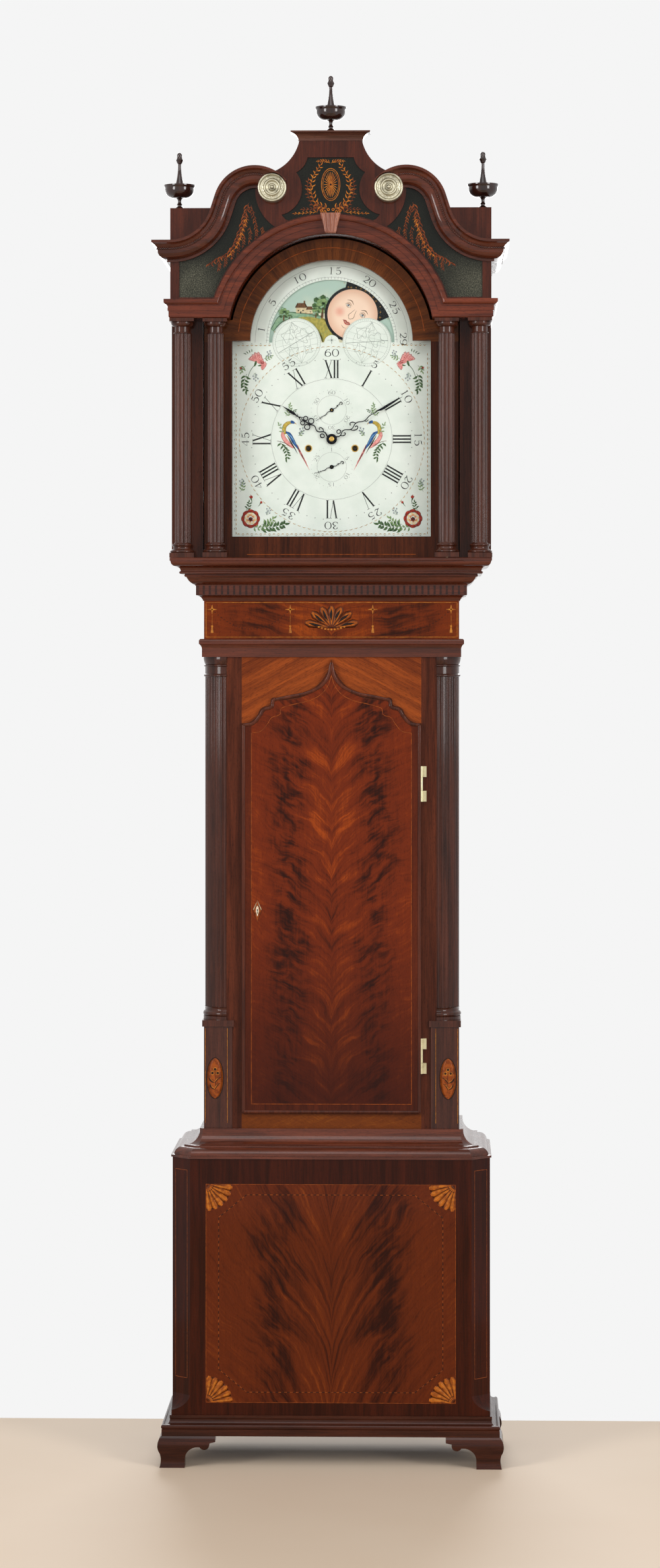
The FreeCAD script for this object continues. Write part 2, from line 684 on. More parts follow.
def trunk_corner_columns():
    """A quarter column in each front corner of the trunk, on its pedestal."""
    x, d = CORNER_AXIS_X, CORNER_AXIS_DEPTH
    foot = Z_COLUMN + CORNER_BASE_HEIGHT
    neck = Z_FRIEZE_MOULDING - CORNER_CAPITAL_HEIGHT
    shaft = fluted(x, d, CORNER_RADIUS - 0.5, CORNER_FLUTES, foot, neck, 0.0, 90.0)
    wide = CORNER_RADIUS + CORNER_BEAD

    def quarter(start, *steps):
        face = outline(lambda p: vec(x + p[0], d, p[1]), start, *steps)
        return face.revolve(vec(x, d, 0), UP, -90.0)

    low = Z_COLUMN
    foot_ring = quarter((0.0, low), (wide, low), (wide, low + 6.0), (wide - 1.5, low + 6.0),
                        ((wide + 0.6, low + 10.0), (wide - 1.5, low + 14.0)),
                        ((wide - 3.5, low + 17.0), (wide - 1.8, foot)), (0.0, foot))
    top = Z_FRIEZE_MOULDING
    capital = quarter((0.0, neck), (wide - 2.0, neck), ((wide - 0.5, neck + 2.0), (wide - 2.0, neck + 4.0)),
                      (wide - 3.5, neck + 5.0), (wide - 3.5, neck + 17.0), (wide - 2.0, neck + 17.5),
                      ((wide - 0.8, neck + 19.0), (wide - 2.0, neck + 20.5)), (wide - 3.0, neck + 21.0),
                      ((wide - 1.0, top - 8.0), (wide - 0.2, top - 4.0)), (wide, top - 4.0),
                      (wide, top), (0.0, top))
    column = fuse([foot_ring, shaft, capital])
    face_x = x - PEDESTAL_OVERLAP
    face_d = TRUNK_FRONT + PEDESTAL_FACE
    core = box(x, TRUNK_HALF, d, TRUNK_FRONT, Z_PEDESTAL, Z_COLUMN)
    facing = box(face_x, TRUNK_HALF, TRUNK_FRONT, face_d, Z_PEDESTAL, Z_COLUMN)
    out = PEDESTAL_CAP_PROUD
    cap_low = Z_COLUMN - PEDESTAL_CAP
    cap_front = box(face_x - out, TRUNK_HALF + out, face_d, face_d + out, cap_low, Z_COLUMN)
    cap_side = box(TRUNK_HALF, TRUNK_HALF + out, d, face_d, cap_low, Z_COLUMN)
    cap_end = box(face_x - out, face_x, TRUNK_FRONT, face_d, cap_low, Z_COLUMN)
    pedestal = fuse([core, facing, cap_front, cap_side, cap_end])
    return group(both(column) + both(pedestal))


def frieze_panel():
    return box(-TRUNK_HALF, TRUNK_HALF, TRUNK_FRAME_BACK, TRUNK_FRONT, Z_FRIEZE_MOULDING, Z_HOOD)


def frieze_moulding():
    low = Z_FRIEZE_MOULDING
    top = Z_FRIEZE
    return moulding(square_plan(TRUNK_HALF, TRUNK_FRONT), (0.0, 12.0),
                    (0.0, low), (3.5, low), (3.5, low + 12.0), ((4.5, low + 18.0), (8.0, top - 9.0)),
                    (8.5, top - 9.0), (8.5, top - 4.0), ((7.5, top - 1.2), (5.0, top)), (0.0, top))


def hood_seat_moulding():
    """The cove under the hood, with its row of dentils."""
    low = Z_SEAT
    top = Z_HOOD
    band_low = low + DENTIL_RISE
    band_top = band_low + DENTIL_HEIGHT
    band = DENTIL_BAND
    cove = moulding(square_plan(TRUNK_HALF, TRUNK_FRONT), (0.0, 34.0),
                    (0.0, low), (1.5, low), ((5.5, low + 6.5), (13.0, low + 9.5)), (13.0, band_low),
                    (band, band_low), (band, band_top), (band + 4.0, band_top), (band + 4.0, band_top + 1.5),
                    ((band + 12.0, band_top + 6.0), (band + 18.0, top - 5.5)), (band + 20.0, top - 5.0),
                    ((band + 21.6, top - 3.0), (band + 21.0, top - 1.2)), (band + 21.0, top), (0.0, top))
    teeth = []
    half = TRUNK_HALF + band
    front = TRUNK_FRONT + band
    across = int((2.0 * half - DENTIL_WIDTH) / DENTIL_PITCH)
    for i in range(across + 1):
        x = (i - across / 2.0) * DENTIL_PITCH
        teeth.append(box(x - DENTIL_WIDTH / 2.0, x + DENTIL_WIDTH / 2.0, front, front + DENTIL_PROUD,
                         band_low, band_top))
    for i in range(int(front / DENTIL_PITCH)):
        d = front - DENTIL_PITCH * (i + 0.5)
        teeth.extend(both(box(half, half + DENTIL_PROUD, d - DENTIL_WIDTH / 2.0, d + DENTIL_WIDTH / 2.0,
                              band_low, band_top)))
    return fuse([cove] + teeth)


def line_hole_places():
    """Where each weight line passes the seatboard, as x: from the barrel, and to its fixed end."""
    near = WINDING_X - BARREL_RADIUS - LINE_RADIUS - LINE_GAP
    far = near + 2.0 * PULLEY_RADIUS
    return near, far


def seatboard():
    board = box(-TRUNK_HALF, TRUNK_HALF, SEATBOARD_BACK, TRUNK_FRAME_BACK, Z_SEATBOARD, Z_PLATES)
    near, _ = line_hole_places()
    holes = both(post(near, LINE_DEPTH, LINE_HOLE_RADIUS, Z_SEATBOARD, Z_PLATES))
    return board.cut(Part.makeCompound(holes))


# Trunk door


def door_hinge_levels():
    return Z_DOOR_SHOULDER - UPPER_HINGE_DROP, Z_DOOR_FOOT + LOWER_HINGE_RISE


def door_hinge_axis():
    """Across and depth of the trunk door's hinge pins."""
    return DOOR_HALF, TRUNK_FRONT + DOOR_LIP_GAP + 0.68 * DOOR_LIP


def trunk_door():
    """A thumb-moulded lip with a cusped head, and the core that fills the opening."""
    low = Z_DOOR_FOOT
    half = DOOR_HALF
    back = TRUNK_FRONT + DOOR_LIP_GAP
    front = back + DOOR_LIP
    head = Z_DOOR_SHOULDER
    peak = head + DOOR_PEAK

    def leaf(d0, d1, inset):
        edge = half - inset
        return slab(d0, d1, (-edge, low + inset), (edge, low + inset), (edge, head - inset),
                    ((edge - 16.0, head + 3.0 - inset), (edge - 29.5, head + 18.0 - inset)),
                    ((edge - 35.0, head + 26.5 - inset), (edge - 44.5, head + 29.5 - inset)),
                    (edge - 50.0, head + 32.5 - inset), (edge - 50.0, head + 37.0 - inset),
                    ((edge - 51.5, head + 42.5 - inset), (edge - 56.0, head + 44.7 - inset)),
                    ((0.18 * edge, head + 62.0 - inset), (0.0, peak - 1.6 * inset)),
                    ((-0.18 * edge, head + 62.0 - inset), (-edge + 56.0, head + 44.7 - inset)),
                    ((-edge + 51.5, head + 42.5 - inset), (-edge + 50.0, head + 37.0 - inset)),
                    (-edge + 50.0, head + 32.5 - inset), (-edge + 44.5, head + 29.5 - inset),
                    ((-edge + 35.0, head + 26.5 - inset), (-edge + 29.5, head + 18.0 - inset)),
                    ((-edge + 16.0, head + 3.0 - inset), (-edge, head - inset)))

    lip = fuse([leaf(back, front - 3.0, 0.0), leaf(front - 3.0, front - 1.0, 1.2),
                leaf(front - 1.0, front, 3.2)])
    core_half = half - DOOR_REBATE - DOOR_CORE_GAP
    core = box(-core_half, core_half, back - DOOR_CORE, back, low + DOOR_REBATE + DOOR_CORE_GAP,
               head - DOOR_REBATE - DOOR_CORE_GAP)
    door = fuse([lip, core])
    x, d = door_hinge_axis()
    room = HINGE_KNUCKLE_RADIUS + HINGE_SWING_GAP
    for z in door_hinge_levels():
        reach = HINGE_LENGTH / 2.0 + HINGE_SWING_GAP
        door = door.cut(post(x, d, room, z - reach, z + reach))
    return door


def trunk_hinge_pins():
    """The leaves, end knuckles and pins that stay on the trunk frame."""
    x, d = door_hinge_axis()
    hinges = []
    reach = HINGE_LENGTH / 2.0
    middle = HINGE_MID / 2.0
    for z in door_hinge_levels():
        ends = []
        for z0, z1 in ((z - reach, z - middle), (z + middle, z + reach)):
            ends.append(post(x, d, HINGE_KNUCKLE_RADIUS, z0, z1))
            ends.append(box(x + HINGE_SWING_GAP, x + HINGE_LEAF, TRUNK_FRONT, d, z0, z1))
        pin = post(x, d, HINGE_PIN_RADIUS, z - reach, z + reach)
        hinges.append(fuse(ends + [pin]))
    return group(hinges)


def trunk_door_brasses():
    """The hinge knuckles on the door, its key plate and the lock behind it."""
    x, d = door_hinge_axis()
    front = TRUNK_FRONT + DOOR_LIP_GAP + DOOR_LIP
    gap = HINGE_SWING_GAP
    middle = HINGE_MID / 2.0 - gap
    leaf = HINGE_LEAF_THICKNESS / 2.0
    pieces = []
    for z in door_hinge_levels():
        knuckle = post(x, d, HINGE_KNUCKLE_RADIUS, z - middle, z + middle)
        wing = box(x - HINGE_KNUCKLE_RADIUS - gap, x, d - leaf, d + leaf, z - middle, z + middle)
        bore = post(x, d, HINGE_PIN_RADIUS + HINGE_CLEARANCE, z - HINGE_MID, z + HINGE_MID)
        room = post(x, d, HINGE_KNUCKLE_RADIUS + gap, z - HINGE_MID, z + HINGE_MID)
        pieces.append(fuse([knuckle, wing.common(room)]).cut(bore))
    kx = -DOOR_HALF + ESCUTCHEON_INSET
    kz = Z_DOOR_FOOT + ESCUTCHEON_RISE
    half = ESCUTCHEON_HALF
    tall = ESCUTCHEON_REACH
    key = KEYHOLE_HALF
    plate = slab(front, front + ESCUTCHEON_PLATE, (kx, kz + tall), (kx - half, kz + tall / 6.0),
                 (kx, kz - tall), (kx + half, kz + tall / 6.0))
    keyhole = slab(front, front + ESCUTCHEON_PLATE, (kx - key, kz - 7.0 * key), (kx + key, kz - 7.0 * key),
                   (kx + key, kz + key), ((kx, kz + 5.0 * key), (kx - key, kz + key)))
    core_back = TRUNK_FRONT + DOOR_LIP_GAP - DOOR_CORE
    left = -DOOR_HALF + DOOR_REBATE + 2.0 * DOOR_CORE_GAP
    lock = box(left, left + LOCK_WIDTH, core_back - LOCK_DEPTH, core_back,
               kz - LOCK_HEIGHT / 2.0, kz + LOCK_HEIGHT / 2.0)
    return group(pieces + [plate.cut(keyhole), lock])


# Hood


def hood_base_moulding():
    """The hood's bottom frame: an ogee on three sides, and rails that carry the sides and columns."""
    low = Z_HOOD
    top = Z_HOOD_COLUMN
    inner = -HOOD_RAIL
    ogee = moulding(square_plan(HOOD_HALF, HOOD_FRONT, HOOD_BACK_GAP), (inner, 3.0),
                    (inner, low), (-17.0, low), ((-14.6, low + 2.3), (-17.0, low + 4.6)),
                    ((-15.6, low + 9.0), (-9.0, low + 13.0)), ((-2.5, low + 16.0), (-0.5, low + 21.5)),
                    (1.0, low + 22.5), (1.0, top - 1.0), (0.0, top), (inner, top))
    cheek = TRUNK_HALF + HOOD_CHEEK_GAP
    side = box(cheek, HOOD_HALF + inner, HOOD_BACK_GAP, HOOD_FRONT + inner, low, top)
    rail = box(-cheek, cheek, FRAME_BACK, HOOD_FRONT + inner, low, top)
    frame = fuse([ogee, rail] + both(side))
    return frame.cut(hood_pivot_hole(top - PIVOT_LENGTH - PIVOT_END_GAP, top))


def hood_pivot_hole(z0, z1):
    return post(INNER_COLUMN_X, COLUMN_DEPTH, PIVOT_RADIUS + RUNNING_CLEARANCE, z0, z1)


def hood_sides():
    inner = HOOD_HALF - HOOD_BOARD
    low = box(inner, HOOD_HALF, HOOD_BACK_GAP, FRAME_BACK, Z_HOOD_COLUMN, Z_ROOF)
    middle = box(inner, HOOD_HALF, FRAME_BACK, FRAME_FRONT, Z_ENTABLATURE, Z_ROOF)
    high = box(inner, HOOD_HALF, FRAME_FRONT, TYMPANUM_BACK, Z_TYMPANUM, Z_ROOF)
    return group(both(fuse([low, middle, high])))


def hood_front_frame():
    """The fixed frame round the hood door, behind the columns and the arch."""
    inner = HOOD_HALF - HOOD_BOARD
    wide = box(-HOOD_HALF, HOOD_HALF, FRAME_BACK, FRAME_FRONT, Z_HOOD_COLUMN, Z_ENTABLATURE)
    upper = box(-inner, inner, FRAME_BACK, FRAME_FRONT, Z_ENTABLATURE, Z_ROOF - ROOF_BOARD)
    half = HOOD_OPENING_HALF
    opening = box(-half, half, FRAME_BACK, FRAME_FRONT, Z_HOOD_COLUMN, Z_ENTABLATURE)
    arch = rod(0.0, Z_ARCH, ARCH_RADIUS, FRAME_BACK, FRAME_FRONT)
    return fuse([wide, upper]).cut(opening).cut(arch)


def arch_mitre():
    """The line where the arch moulding meets the level one, as two points (x, z) on the right."""
    high = (math.sqrt(ARCH_OUTER ** 2 - (Z_TYMPANUM - Z_ARCH) ** 2), Z_TYMPANUM)
    low = (math.sqrt(ARCH_RADIUS ** 2 - (Z_ENTABLATURE - Z_ARCH) ** 2), Z_ENTABLATURE)
    return low, high


def entablature_profile():
    """Outward from the face, and down from the top, of the moulding over the columns."""
    tall = ENTABLATURE_HEIGHT
    out = ENTABLATURE_PROUD
    return ((0.0, 0.0), (out, 0.0), (out, 4.5), ((out - 1.5, 8.0), (out - 5.0, 9.5)), (out - 5.0, 11.0),
            (out - 6.5, 11.0), (out - 6.5, 0.62 * tall), (out - 8.0, 0.62 * tall),
            (out - 8.0, tall - 1.5), (out - 9.5, tall), (0.0, tall))


def flip(profile, top):
    """A profile measured down from its top edge, turned into heights."""
    steps = []
    for step in profile:
        if isinstance(step[0], tuple):
            steps.append(tuple((out, top - down) for out, down in step))
        else:
            steps.append((step[0], top - step[1]))
    return steps


def entablature():
    """Level moulding over the columns, returned along the sides, and the arch over the dial."""
    low, high = arch_mitre()
    face = ENTABLATURE_FACE
    out = face + ENTABLATURE_PROUD + 1.0
    core = box(-HOOD_HALF, HOOD_HALF, FRAME_FRONT, face, Z_ENTABLATURE, Z_TYMPANUM)
    ring = rod(0.0, Z_ARCH, ARCH_OUTER, FRAME_FRONT, face)
    ring = ring.common(box(-high[0], high[0], FRAME_FRONT, face, Z_ENTABLATURE, Z_ROOF))
    core = fuse([core, ring]).cut(rod(0.0, Z_ARCH, ARCH_RADIUS, FRAME_FRONT, face))
    level = moulding(square_plan(HOOD_HALF, face, HOOD_BACK_GAP), (0.0, ENTABLATURE_PROUD + 2.0),
                     *flip(entablature_profile(), Z_TYMPANUM))
    slope = (high[0] - low[0]) / (high[1] - low[1])
    spare = ENTABLATURE_HEIGHT
    below = (low[0] - slope * spare, low[1] - spare)
    above = (high[0] + slope * spare, high[1] + spare)
    inside = slab(face - 1.0, out, below, above, (-above[0], above[1]), (-below[0], below[1]))
    level = level.cut(inside)
    crown = outline(lambda p: vec(0.0, face + p[0], Z_ARCH + ARCH_OUTER - p[1]), *entablature_profile())
    crown = crown.revolve(vec(0.0, face, Z_ARCH), FORWARD, 360.0)
    wide = ARCH_OUTER
    crown = crown.common(slab(face - 1.0, out, low, high, (wide, Z_CAP), (-wide, Z_CAP),
                              (-high[0], high[1]), (-low[0], low[1])))
    whole = fuse([core, level, crown])
    return whole.cut(hood_pivot_hole(Z_ENTABLATURE, Z_ENTABLATURE + PIVOT_LENGTH + PIVOT_END_GAP))


def keystone(arch):
    low = Z_ARCH + ARCH_RADIUS
    high = low + ENTABLATURE_HEIGHT + KEYSTONE_RISE
    wedge = slab(ENTABLATURE_FACE, ENTABLATURE_FACE + KEYSTONE_PROUD, (-KEYSTONE_FOOT_HALF, low),
                 (KEYSTONE_FOOT_HALF, low), (KEYSTONE_TOP_HALF, high), (-KEYSTONE_TOP_HALF, high))
    lap = low + ENTABLATURE_HEIGHT - KEYSTONE_LAP
    half = KEYSTONE_TOP_HALF
    wedge = wedge.cut(box(-half, half, ENTABLATURE_FACE, TYMPANUM_FRONT, lap, high))
    return wedge.cut(arch)


def hood_roof():
    inner = HOOD_HALF - HOOD_BOARD
    return box(-inner, inner, HOOD_BACK_GAP, TYMPANUM_BACK, Z_ROOF - ROOF_BOARD, Z_ROOF)


# Swan-neck pediment


def neck_line():
    """Centres and joints of the swan neck's top edge: foot arc, straight run, crest arc."""
    turn = math.radians(NECK_TURN)
    foot = (-HOOD_HALF + NECK_LEVEL_RUN, Z_CORNICE + NECK_FOOT_RADIUS)
    foot_end = (foot[0] + NECK_FOOT_RADIUS * math.sin(turn), foot[1] - NECK_FOOT_RADIUS * math.cos(turn))
    rise = (foot_end[0] + NECK_STRAIGHT * math.cos(turn), foot_end[1] + NECK_STRAIGHT * math.sin(turn))
    crest = (rise[0] + NECK_CREST_RADIUS * math.sin(turn), rise[1] - NECK_CREST_RADIUS * math.cos(turn))
    return foot, foot_end, rise, crest


def patera_place():
    """Centre of the left patera, on the end of its scroll."""
    crest = neck_line()[-1]
    turn = math.radians(PATERA_TURN)
    return crest[0] + PATERA_REACH * math.sin(turn), crest[1] + PATERA_REACH * math.cos(turn)


def neck_profile():
    """Outward from the tympanum, and down from the top edge."""
    out = CORNICE_PROUD
    return ((0.0, 0.0), (out, 0.0), (out, 4.5), ((out - 4.0, 7.0), (out - 8.0, 11.5)), (out - 9.0, 12.5),
            (out - 9.0, 16.0), (out - 10.0, 16.5), ((out - 14.0, 27.0), (6.5, NECK_WIDTH - 4.5)),
            (5.0, NECK_WIDTH - 4.0), (5.0, NECK_WIDTH), (0.0, NECK_WIDTH))


def neck_arc(centre, radius, inward, first, sweep):
    """One arc of the swan neck: the profile turned about its centre, from an angle clockwise of up."""
    sign = -1.0 if inward else 1.0
    face = outline(lambda p: vec(centre[0], TYMPANUM_FRONT + p[0], centre[1] + radius + sign * p[1]),
                   *neck_profile())
    face.rotate(vec(centre[0], 0.0, centre[1]), FreeCAD.Vector(0, 1, 0), first)
    return face.revolve(vec(centre[0], 0.0, centre[1]), FreeCAD.Vector(0, 1, 0), sweep)


def swan_necks():
    """The cornice along each side, swept up over the front into a scroll."""
    foot, foot_end, rise, crest = neck_line()
    plan = [(-HOOD_HALF, HOOD_BACK_GAP), (-HOOD_HALF, TYMPANUM_FRONT), (foot[0], TYMPANUM_FRONT)]
    level = moulding(plan, (0.0, CORNICE_PROUD + 1.0), *flip(neck_profile(), Z_CORNICE))
    sweep_up = neck_arc(foot, NECK_FOOT_RADIUS, False, 180.0, -NECK_TURN)
    turn = math.radians(NECK_TURN)
    down = (math.sin(turn), -math.cos(turn))
    straight = outline(lambda p: vec(foot_end[0] + down[0] * p[1], TYMPANUM_FRONT + p[0],
                                     foot_end[1] + down[1] * p[1]), *neck_profile())
    straight = straight.extrude(FreeCAD.Vector(rise[0] - foot_end[0], 0, rise[1] - foot_end[1]))
    scroll = neck_arc(crest, NECK_CREST_RADIUS, True, -NECK_TURN, NECK_CREST_SWEEP)
    neck = fuse([level, sweep_up, straight, scroll])
    neck = neck.cut(rod(*patera_place(), PATERA_RADIUS + PATERA_GAP, TYMPANUM_FRONT, OVERALL_DEPTH))
    return group(both(neck))


def tympanum_outline(inset):
    """Outline of the pediment board from the left foot to the middle, as steps for slab."""
    crest = neck_line()[-1]
    radius = NECK_CREST_RADIUS - inset
    turn = math.radians(NECK_TURN)
    begin = (crest[0] - radius * math.sin(turn), crest[1] + radius * math.cos(turn))
    over = (crest[0], crest[1] + radius)
    spring = math.radians(NECK_TURN / 3.0)
    leave = (crest[0] + radius * math.sin(spring), crest[1] + radius * math.cos(spring))
    waist = (-PEDIMENT_HALF - PEDIMENT_WAIST, Z_CAP - PEDIMENT_WAIST_DROP)
    return begin, over, leave, waist


def tympanum():
    """The pediment board: flat hood front, swan-neck crests and middle pedestal, with glass recesses."""
    begin, over, leave, waist = tympanum_outline(TYMPANUM_EDGE)
    foot_end = neck_line()[1]
    rise = (Z_ROOF - foot_end[1]) / math.tan(math.radians(NECK_TURN))
    ledge_x = foot_end[0] + rise + TYMPANUM_LEDGE
    half = PEDIMENT_HALF
    board = slab(TYMPANUM_BACK, TYMPANUM_FRONT, (-HOOD_HALF, Z_TYMPANUM), (-HOOD_HALF, Z_ROOF),
                 (ledge_x, Z_ROOF), begin, (over, leave), (waist, (-half, Z_CAP)), (half, Z_CAP),
                 ((-waist[0], waist[1]), (-leave[0], leave[1])),
                 ((-over[0], over[1]), (-begin[0], begin[1])),
                 (-ledge_x, Z_ROOF), (HOOD_HALF, Z_ROOF), (HOOD_HALF, Z_TYMPANUM))
    arch = rod(0.0, Z_ARCH, ARCH_OUTER + GLASS_GAP, TYMPANUM_BACK, TYMPANUM_FRONT)
    board = board.cut(arch)
    for pocket in glass_outlines(TYMPANUM_FRONT - GLASS_POCKET, TYMPANUM_FRONT, 0.0):
        board = board.cut(pocket)
    return board


def glass_outlines(d0, d1, inset):
    """The three black glass panels of the pediment: two beside the arch and one in the middle."""
    clear = ARCH_OUTER + ARCH_GLASS_MARGIN + inset
    foot, _, _, crest = neck_line()
    low = Z_TYMPANUM + ARCH_GLASS_MARGIN + inset
    left = -HOOD_HALF + SIDE_GLASS_MARGIN + inset
    under = NECK_FOOT_RADIUS + NECK_WIDTH + inset
    scroll = NECK_CREST_RADIUS - NECK_WIDTH - inset
    turn = math.radians(NECK_TURN)

    def below_foot(angle):
        return (foot[0] + under * math.sin(angle), foot[1] - under * math.cos(angle))

    def in_scroll(angle):
        return (crest[0] - scroll * math.sin(angle), crest[1] + scroll * math.cos(angle))

    start = (left, foot[1] - math.sqrt(under ** 2 - (left - foot[0]) ** 2))
    tip = -SIDE_GLASS_TIP - inset
    side = slab(d0, d1, (left, low), start, (below_foot(turn / 2.0), below_foot(turn)), in_scroll(turn),
                (in_scroll(turn / 2.0), in_scroll(0.0)),
                ((1.23 * tip, Z_ARCH + 0.98 * clear), (tip, Z_ARCH + 0.885 * clear)), (0.0, low))
    side = side.cut(rod(0.0, Z_ARCH, clear, d0, d1))
    side = side.common(box(-HOOD_HALF, -SIDE_GLASS_END, d0, d1, low, Z_CAP))
    side = group([max(side.Solids, key=lambda solid: solid.Volume)])
    top = Z_CAP - MIDDLE_GLASS_DROP - inset
    half = MIDDLE_GLASS_HALF - 2.0 * inset
    tall = MIDDLE_GLASS_HEIGHT

    def right(across, down):
        return (across * half, top - down * tall)

    def left_of(point):
        return (-point[0], point[1])

    head = right(0.47, 0.0)
    hollow = right(0.555, 0.16)
    shoulder = right(0.70, 0.26)
    waist = right(0.585, 0.59)
    wing = right(1.0, 1.0)
    heel = right(0.92, 1.08)
    middle = slab(d0, d1, left_of(head), (left_of(hollow), left_of(shoulder)),
                  (left_of(waist), left_of(wing)), left_of(heel), right(0.0, 1.42), heel, wing,
                  (waist, shoulder), (hollow, head))
    middle = middle.cut(rod(0.0, Z_ARCH, clear, d0, d1))
    return both(side) + [middle]


def glass_panels():
    back = TYMPANUM_FRONT - GLASS_POCKET
    return group(glass_outlines(back, back + PEDIMENT_GLASS, GLASS_GAP))


def paterae():
    """Two turned and chased brass discs on the scroll ends."""
    r = PATERA_RADIUS
    out = PATERA_PROUD
    x, z = patera_place()
    disc = turned_forward(x, TYMPANUM_FRONT, z, (0.0, 0.0), (r, 0.0), (r, 0.77 * out),
                          ((0.95 * r, 0.88 * out), (0.88 * r, 0.85 * out)),
                          ((0.75 * r, 0.75 * out), (0.58 * r, 0.83 * out)),
                          ((0.52 * r, 0.91 * out), (0.46 * r, 0.83 * out)),
                          ((0.36 * r, 0.75 * out), (0.24 * r, 0.83 * out)),
                          ((0.2 * r, 0.89 * out), (0.14 * r, 0.87 * out)),
                          dome(0.14 * r, 0.13 * out, out))
    return group(both(disc))


def finial(x, d, z, tall):
    """A turned finial: waisted stem, open dish, tapering spire and an acorn knob."""
    r = FINIAL_DISH_RADIUS
    tip = FINIAL_TIP_RADIUS
    return turned(x, d, z, (0.0, 0.0), (8.8, 0.0), ((7.0, 3.5), (3.4, 6.5)), (3.4, 8.0), (5.2, 9.5),
                  (3.6, 11.0), ((2.8, 15.0), (4.6, 19.5)), (7.5, 20.5), ((0.75 * r, 24.5), (0.93 * r, 38.0)),
                  (r, 41.0), (r, 43.0), (r - 2.4, 43.0), (8.0, 40.5), ((4.6, 55.0), (2.6, tall - 20.0)),
                  (4.0, tall - 18.5), (6.4, tall - 12.5), ((4.6, tall - 9.5), (tip, tall - tip)),
                  dome(tip, tip, tall))


def finials():
    behind = TYMPANUM_BACK - FINIAL_SETBACK
    crown = finial(0.0, (TYMPANUM_BACK + TYMPANUM_FRONT) / 2.0, Z_CAP + CAP_HEIGHT, CROWN_FINIAL_HEIGHT)
    side = finial(-HOOD_HALF + FINIAL_INSET, behind, Z_ROOF, SIDE_FINIAL_HEIGHT)
    return group([crown] + both(side))


def pediment_cap():
    low = Z_CAP
    top = Z_CAP + CAP_HEIGHT
    core = box(-PEDIMENT_HALF, PEDIMENT_HALF, TYMPANUM_BACK, TYMPANUM_FRONT, low, top)
    out = CAP_PROUD
    edge = moulding(square_plan(PEDIMENT_HALF, TYMPANUM_FRONT, TYMPANUM_BACK), (0.0, out + 1.6),
                    (0.0, low), (1.5, low), (1.5, low + 2.0),
                    ((0.35 * out, low + 8.5), (0.9 * out, top - 3.0)),
                    (out, top - 2.5), (out, top), (0.0, top))
    return fuse([core, edge])


def hood_column(x, low, high):
    """A slender fluted column with square plinth and abacus."""
    half = COLUMN_PLINTH_HALF
    d = COLUMN_DEPTH
    r = COLUMN_RADIUS
    base = COLUMN_PLINTH
    end = COLUMN_TURNING
    plinth = box(x - half, x + half, d - half, d + half, low, low + base)
    foot = turned(x, d, low, (0.0, base), (half - 1.5, base), ((half, base + 2.4), (half - 1.5, base + 4.8)),
                  (half - 3.5, base + 5.3), ((r + 2.2, end - 10.0), (r + 2.6, end - 6.5)),
                  (r + 3.4, end - 5.5), ((r + 4.2, end - 4.0), (r + 3.0, end - 2.4)), (r + 0.4, end - 1.8),
                  (r, end), (0.0, end))
    top = high - low
    neck = top - end
    under = top - COLUMN_ABACUS
    capital = turned(x, d, low, (0.0, neck), (r + 0.6, neck), ((r + 1.8, neck + 1.0), (r + 0.6, neck + 2.0)),
                     (r - 0.6, neck + 2.6), (r - 0.6, under - 8.8), (r + 1.2, under - 8.3),
                     ((r + 4.6, under - 5.8), (half - 2.0, under - 0.3)), (half - 2.0, under), (0.0, under))
    abacus = box(x - half, x + half, d - half, d + half, low + under, high)
    shaft = fluted(x, d, r, COLUMN_FLUTES, low + end, low + neck)
    return fuse([plinth, foot, shaft, capital, abacus])


def hood_outer_columns():
    return group(both(hood_column(-OUTER_COLUMN_X, Z_HOOD_COLUMN, Z_ENTABLATURE)))


# Hood door, which swings on its right column


def dial_sight(d0, d1, margin):
    """The break-arch shape of the dial and of everything that frames it."""
    half = DIAL_SIGHT_HALF + margin
    radius = DIAL_ARCH_RADIUS + margin
    low = Z_DIAL - DIAL_SIGHT_BELOW - margin
    shoulder = Z_DIAL + DIAL_SIGHT_ABOVE + margin
    spring = math.sqrt(radius ** 2 - (shoulder - Z_MOON) ** 2)
    return slab(d0, d1, (-half, low), (half, low), (half, shoulder), (spring, shoulder),
                ((0.0, Z_MOON + radius), (-spring, shoulder)), (-half, shoulder))


def hood_door_frame():
    half = HOOD_OPENING_HALF - HOOD_DOOR_GAP
    low = Z_HOOD_COLUMN + HOOD_DOOR_PLAY
    high = Z_ENTABLATURE - HOOD_DOOR_PLAY
    radius = ARCH_RADIUS - ARCH_DOOR_GAP
    leaf = box(-half, half, FRAME_BACK, FRAME_FRONT, low, high)
    head = rod(0.0, Z_ARCH, radius, FRAME_BACK, FRAME_FRONT)
    head = head.common(box(-radius, radius, FRAME_BACK, FRAME_FRONT, high - 1.0, Z_ARCH + radius))
    glass_front = FRAME_BACK + GLASS_SETBACK
    frame = fuse([leaf, head]).cut(dial_sight(FRAME_BACK, FRAME_FRONT, 0.0))
    return frame.cut(dial_sight(FRAME_BACK, glass_front, GLASS_LAP + GLASS_GAP))


def hood_door_glass():
    front = FRAME_BACK + GLASS_SETBACK
    return dial_sight(front - GLASS_THICKNESS, front, GLASS_LAP)


def hood_door_columns():
    low = Z_HOOD_COLUMN + HOOD_DOOR_PLAY
    high = Z_ENTABLATURE - HOOD_DOOR_PLAY
    return group(both(hood_column(-INNER_COLUMN_X, low, high)))


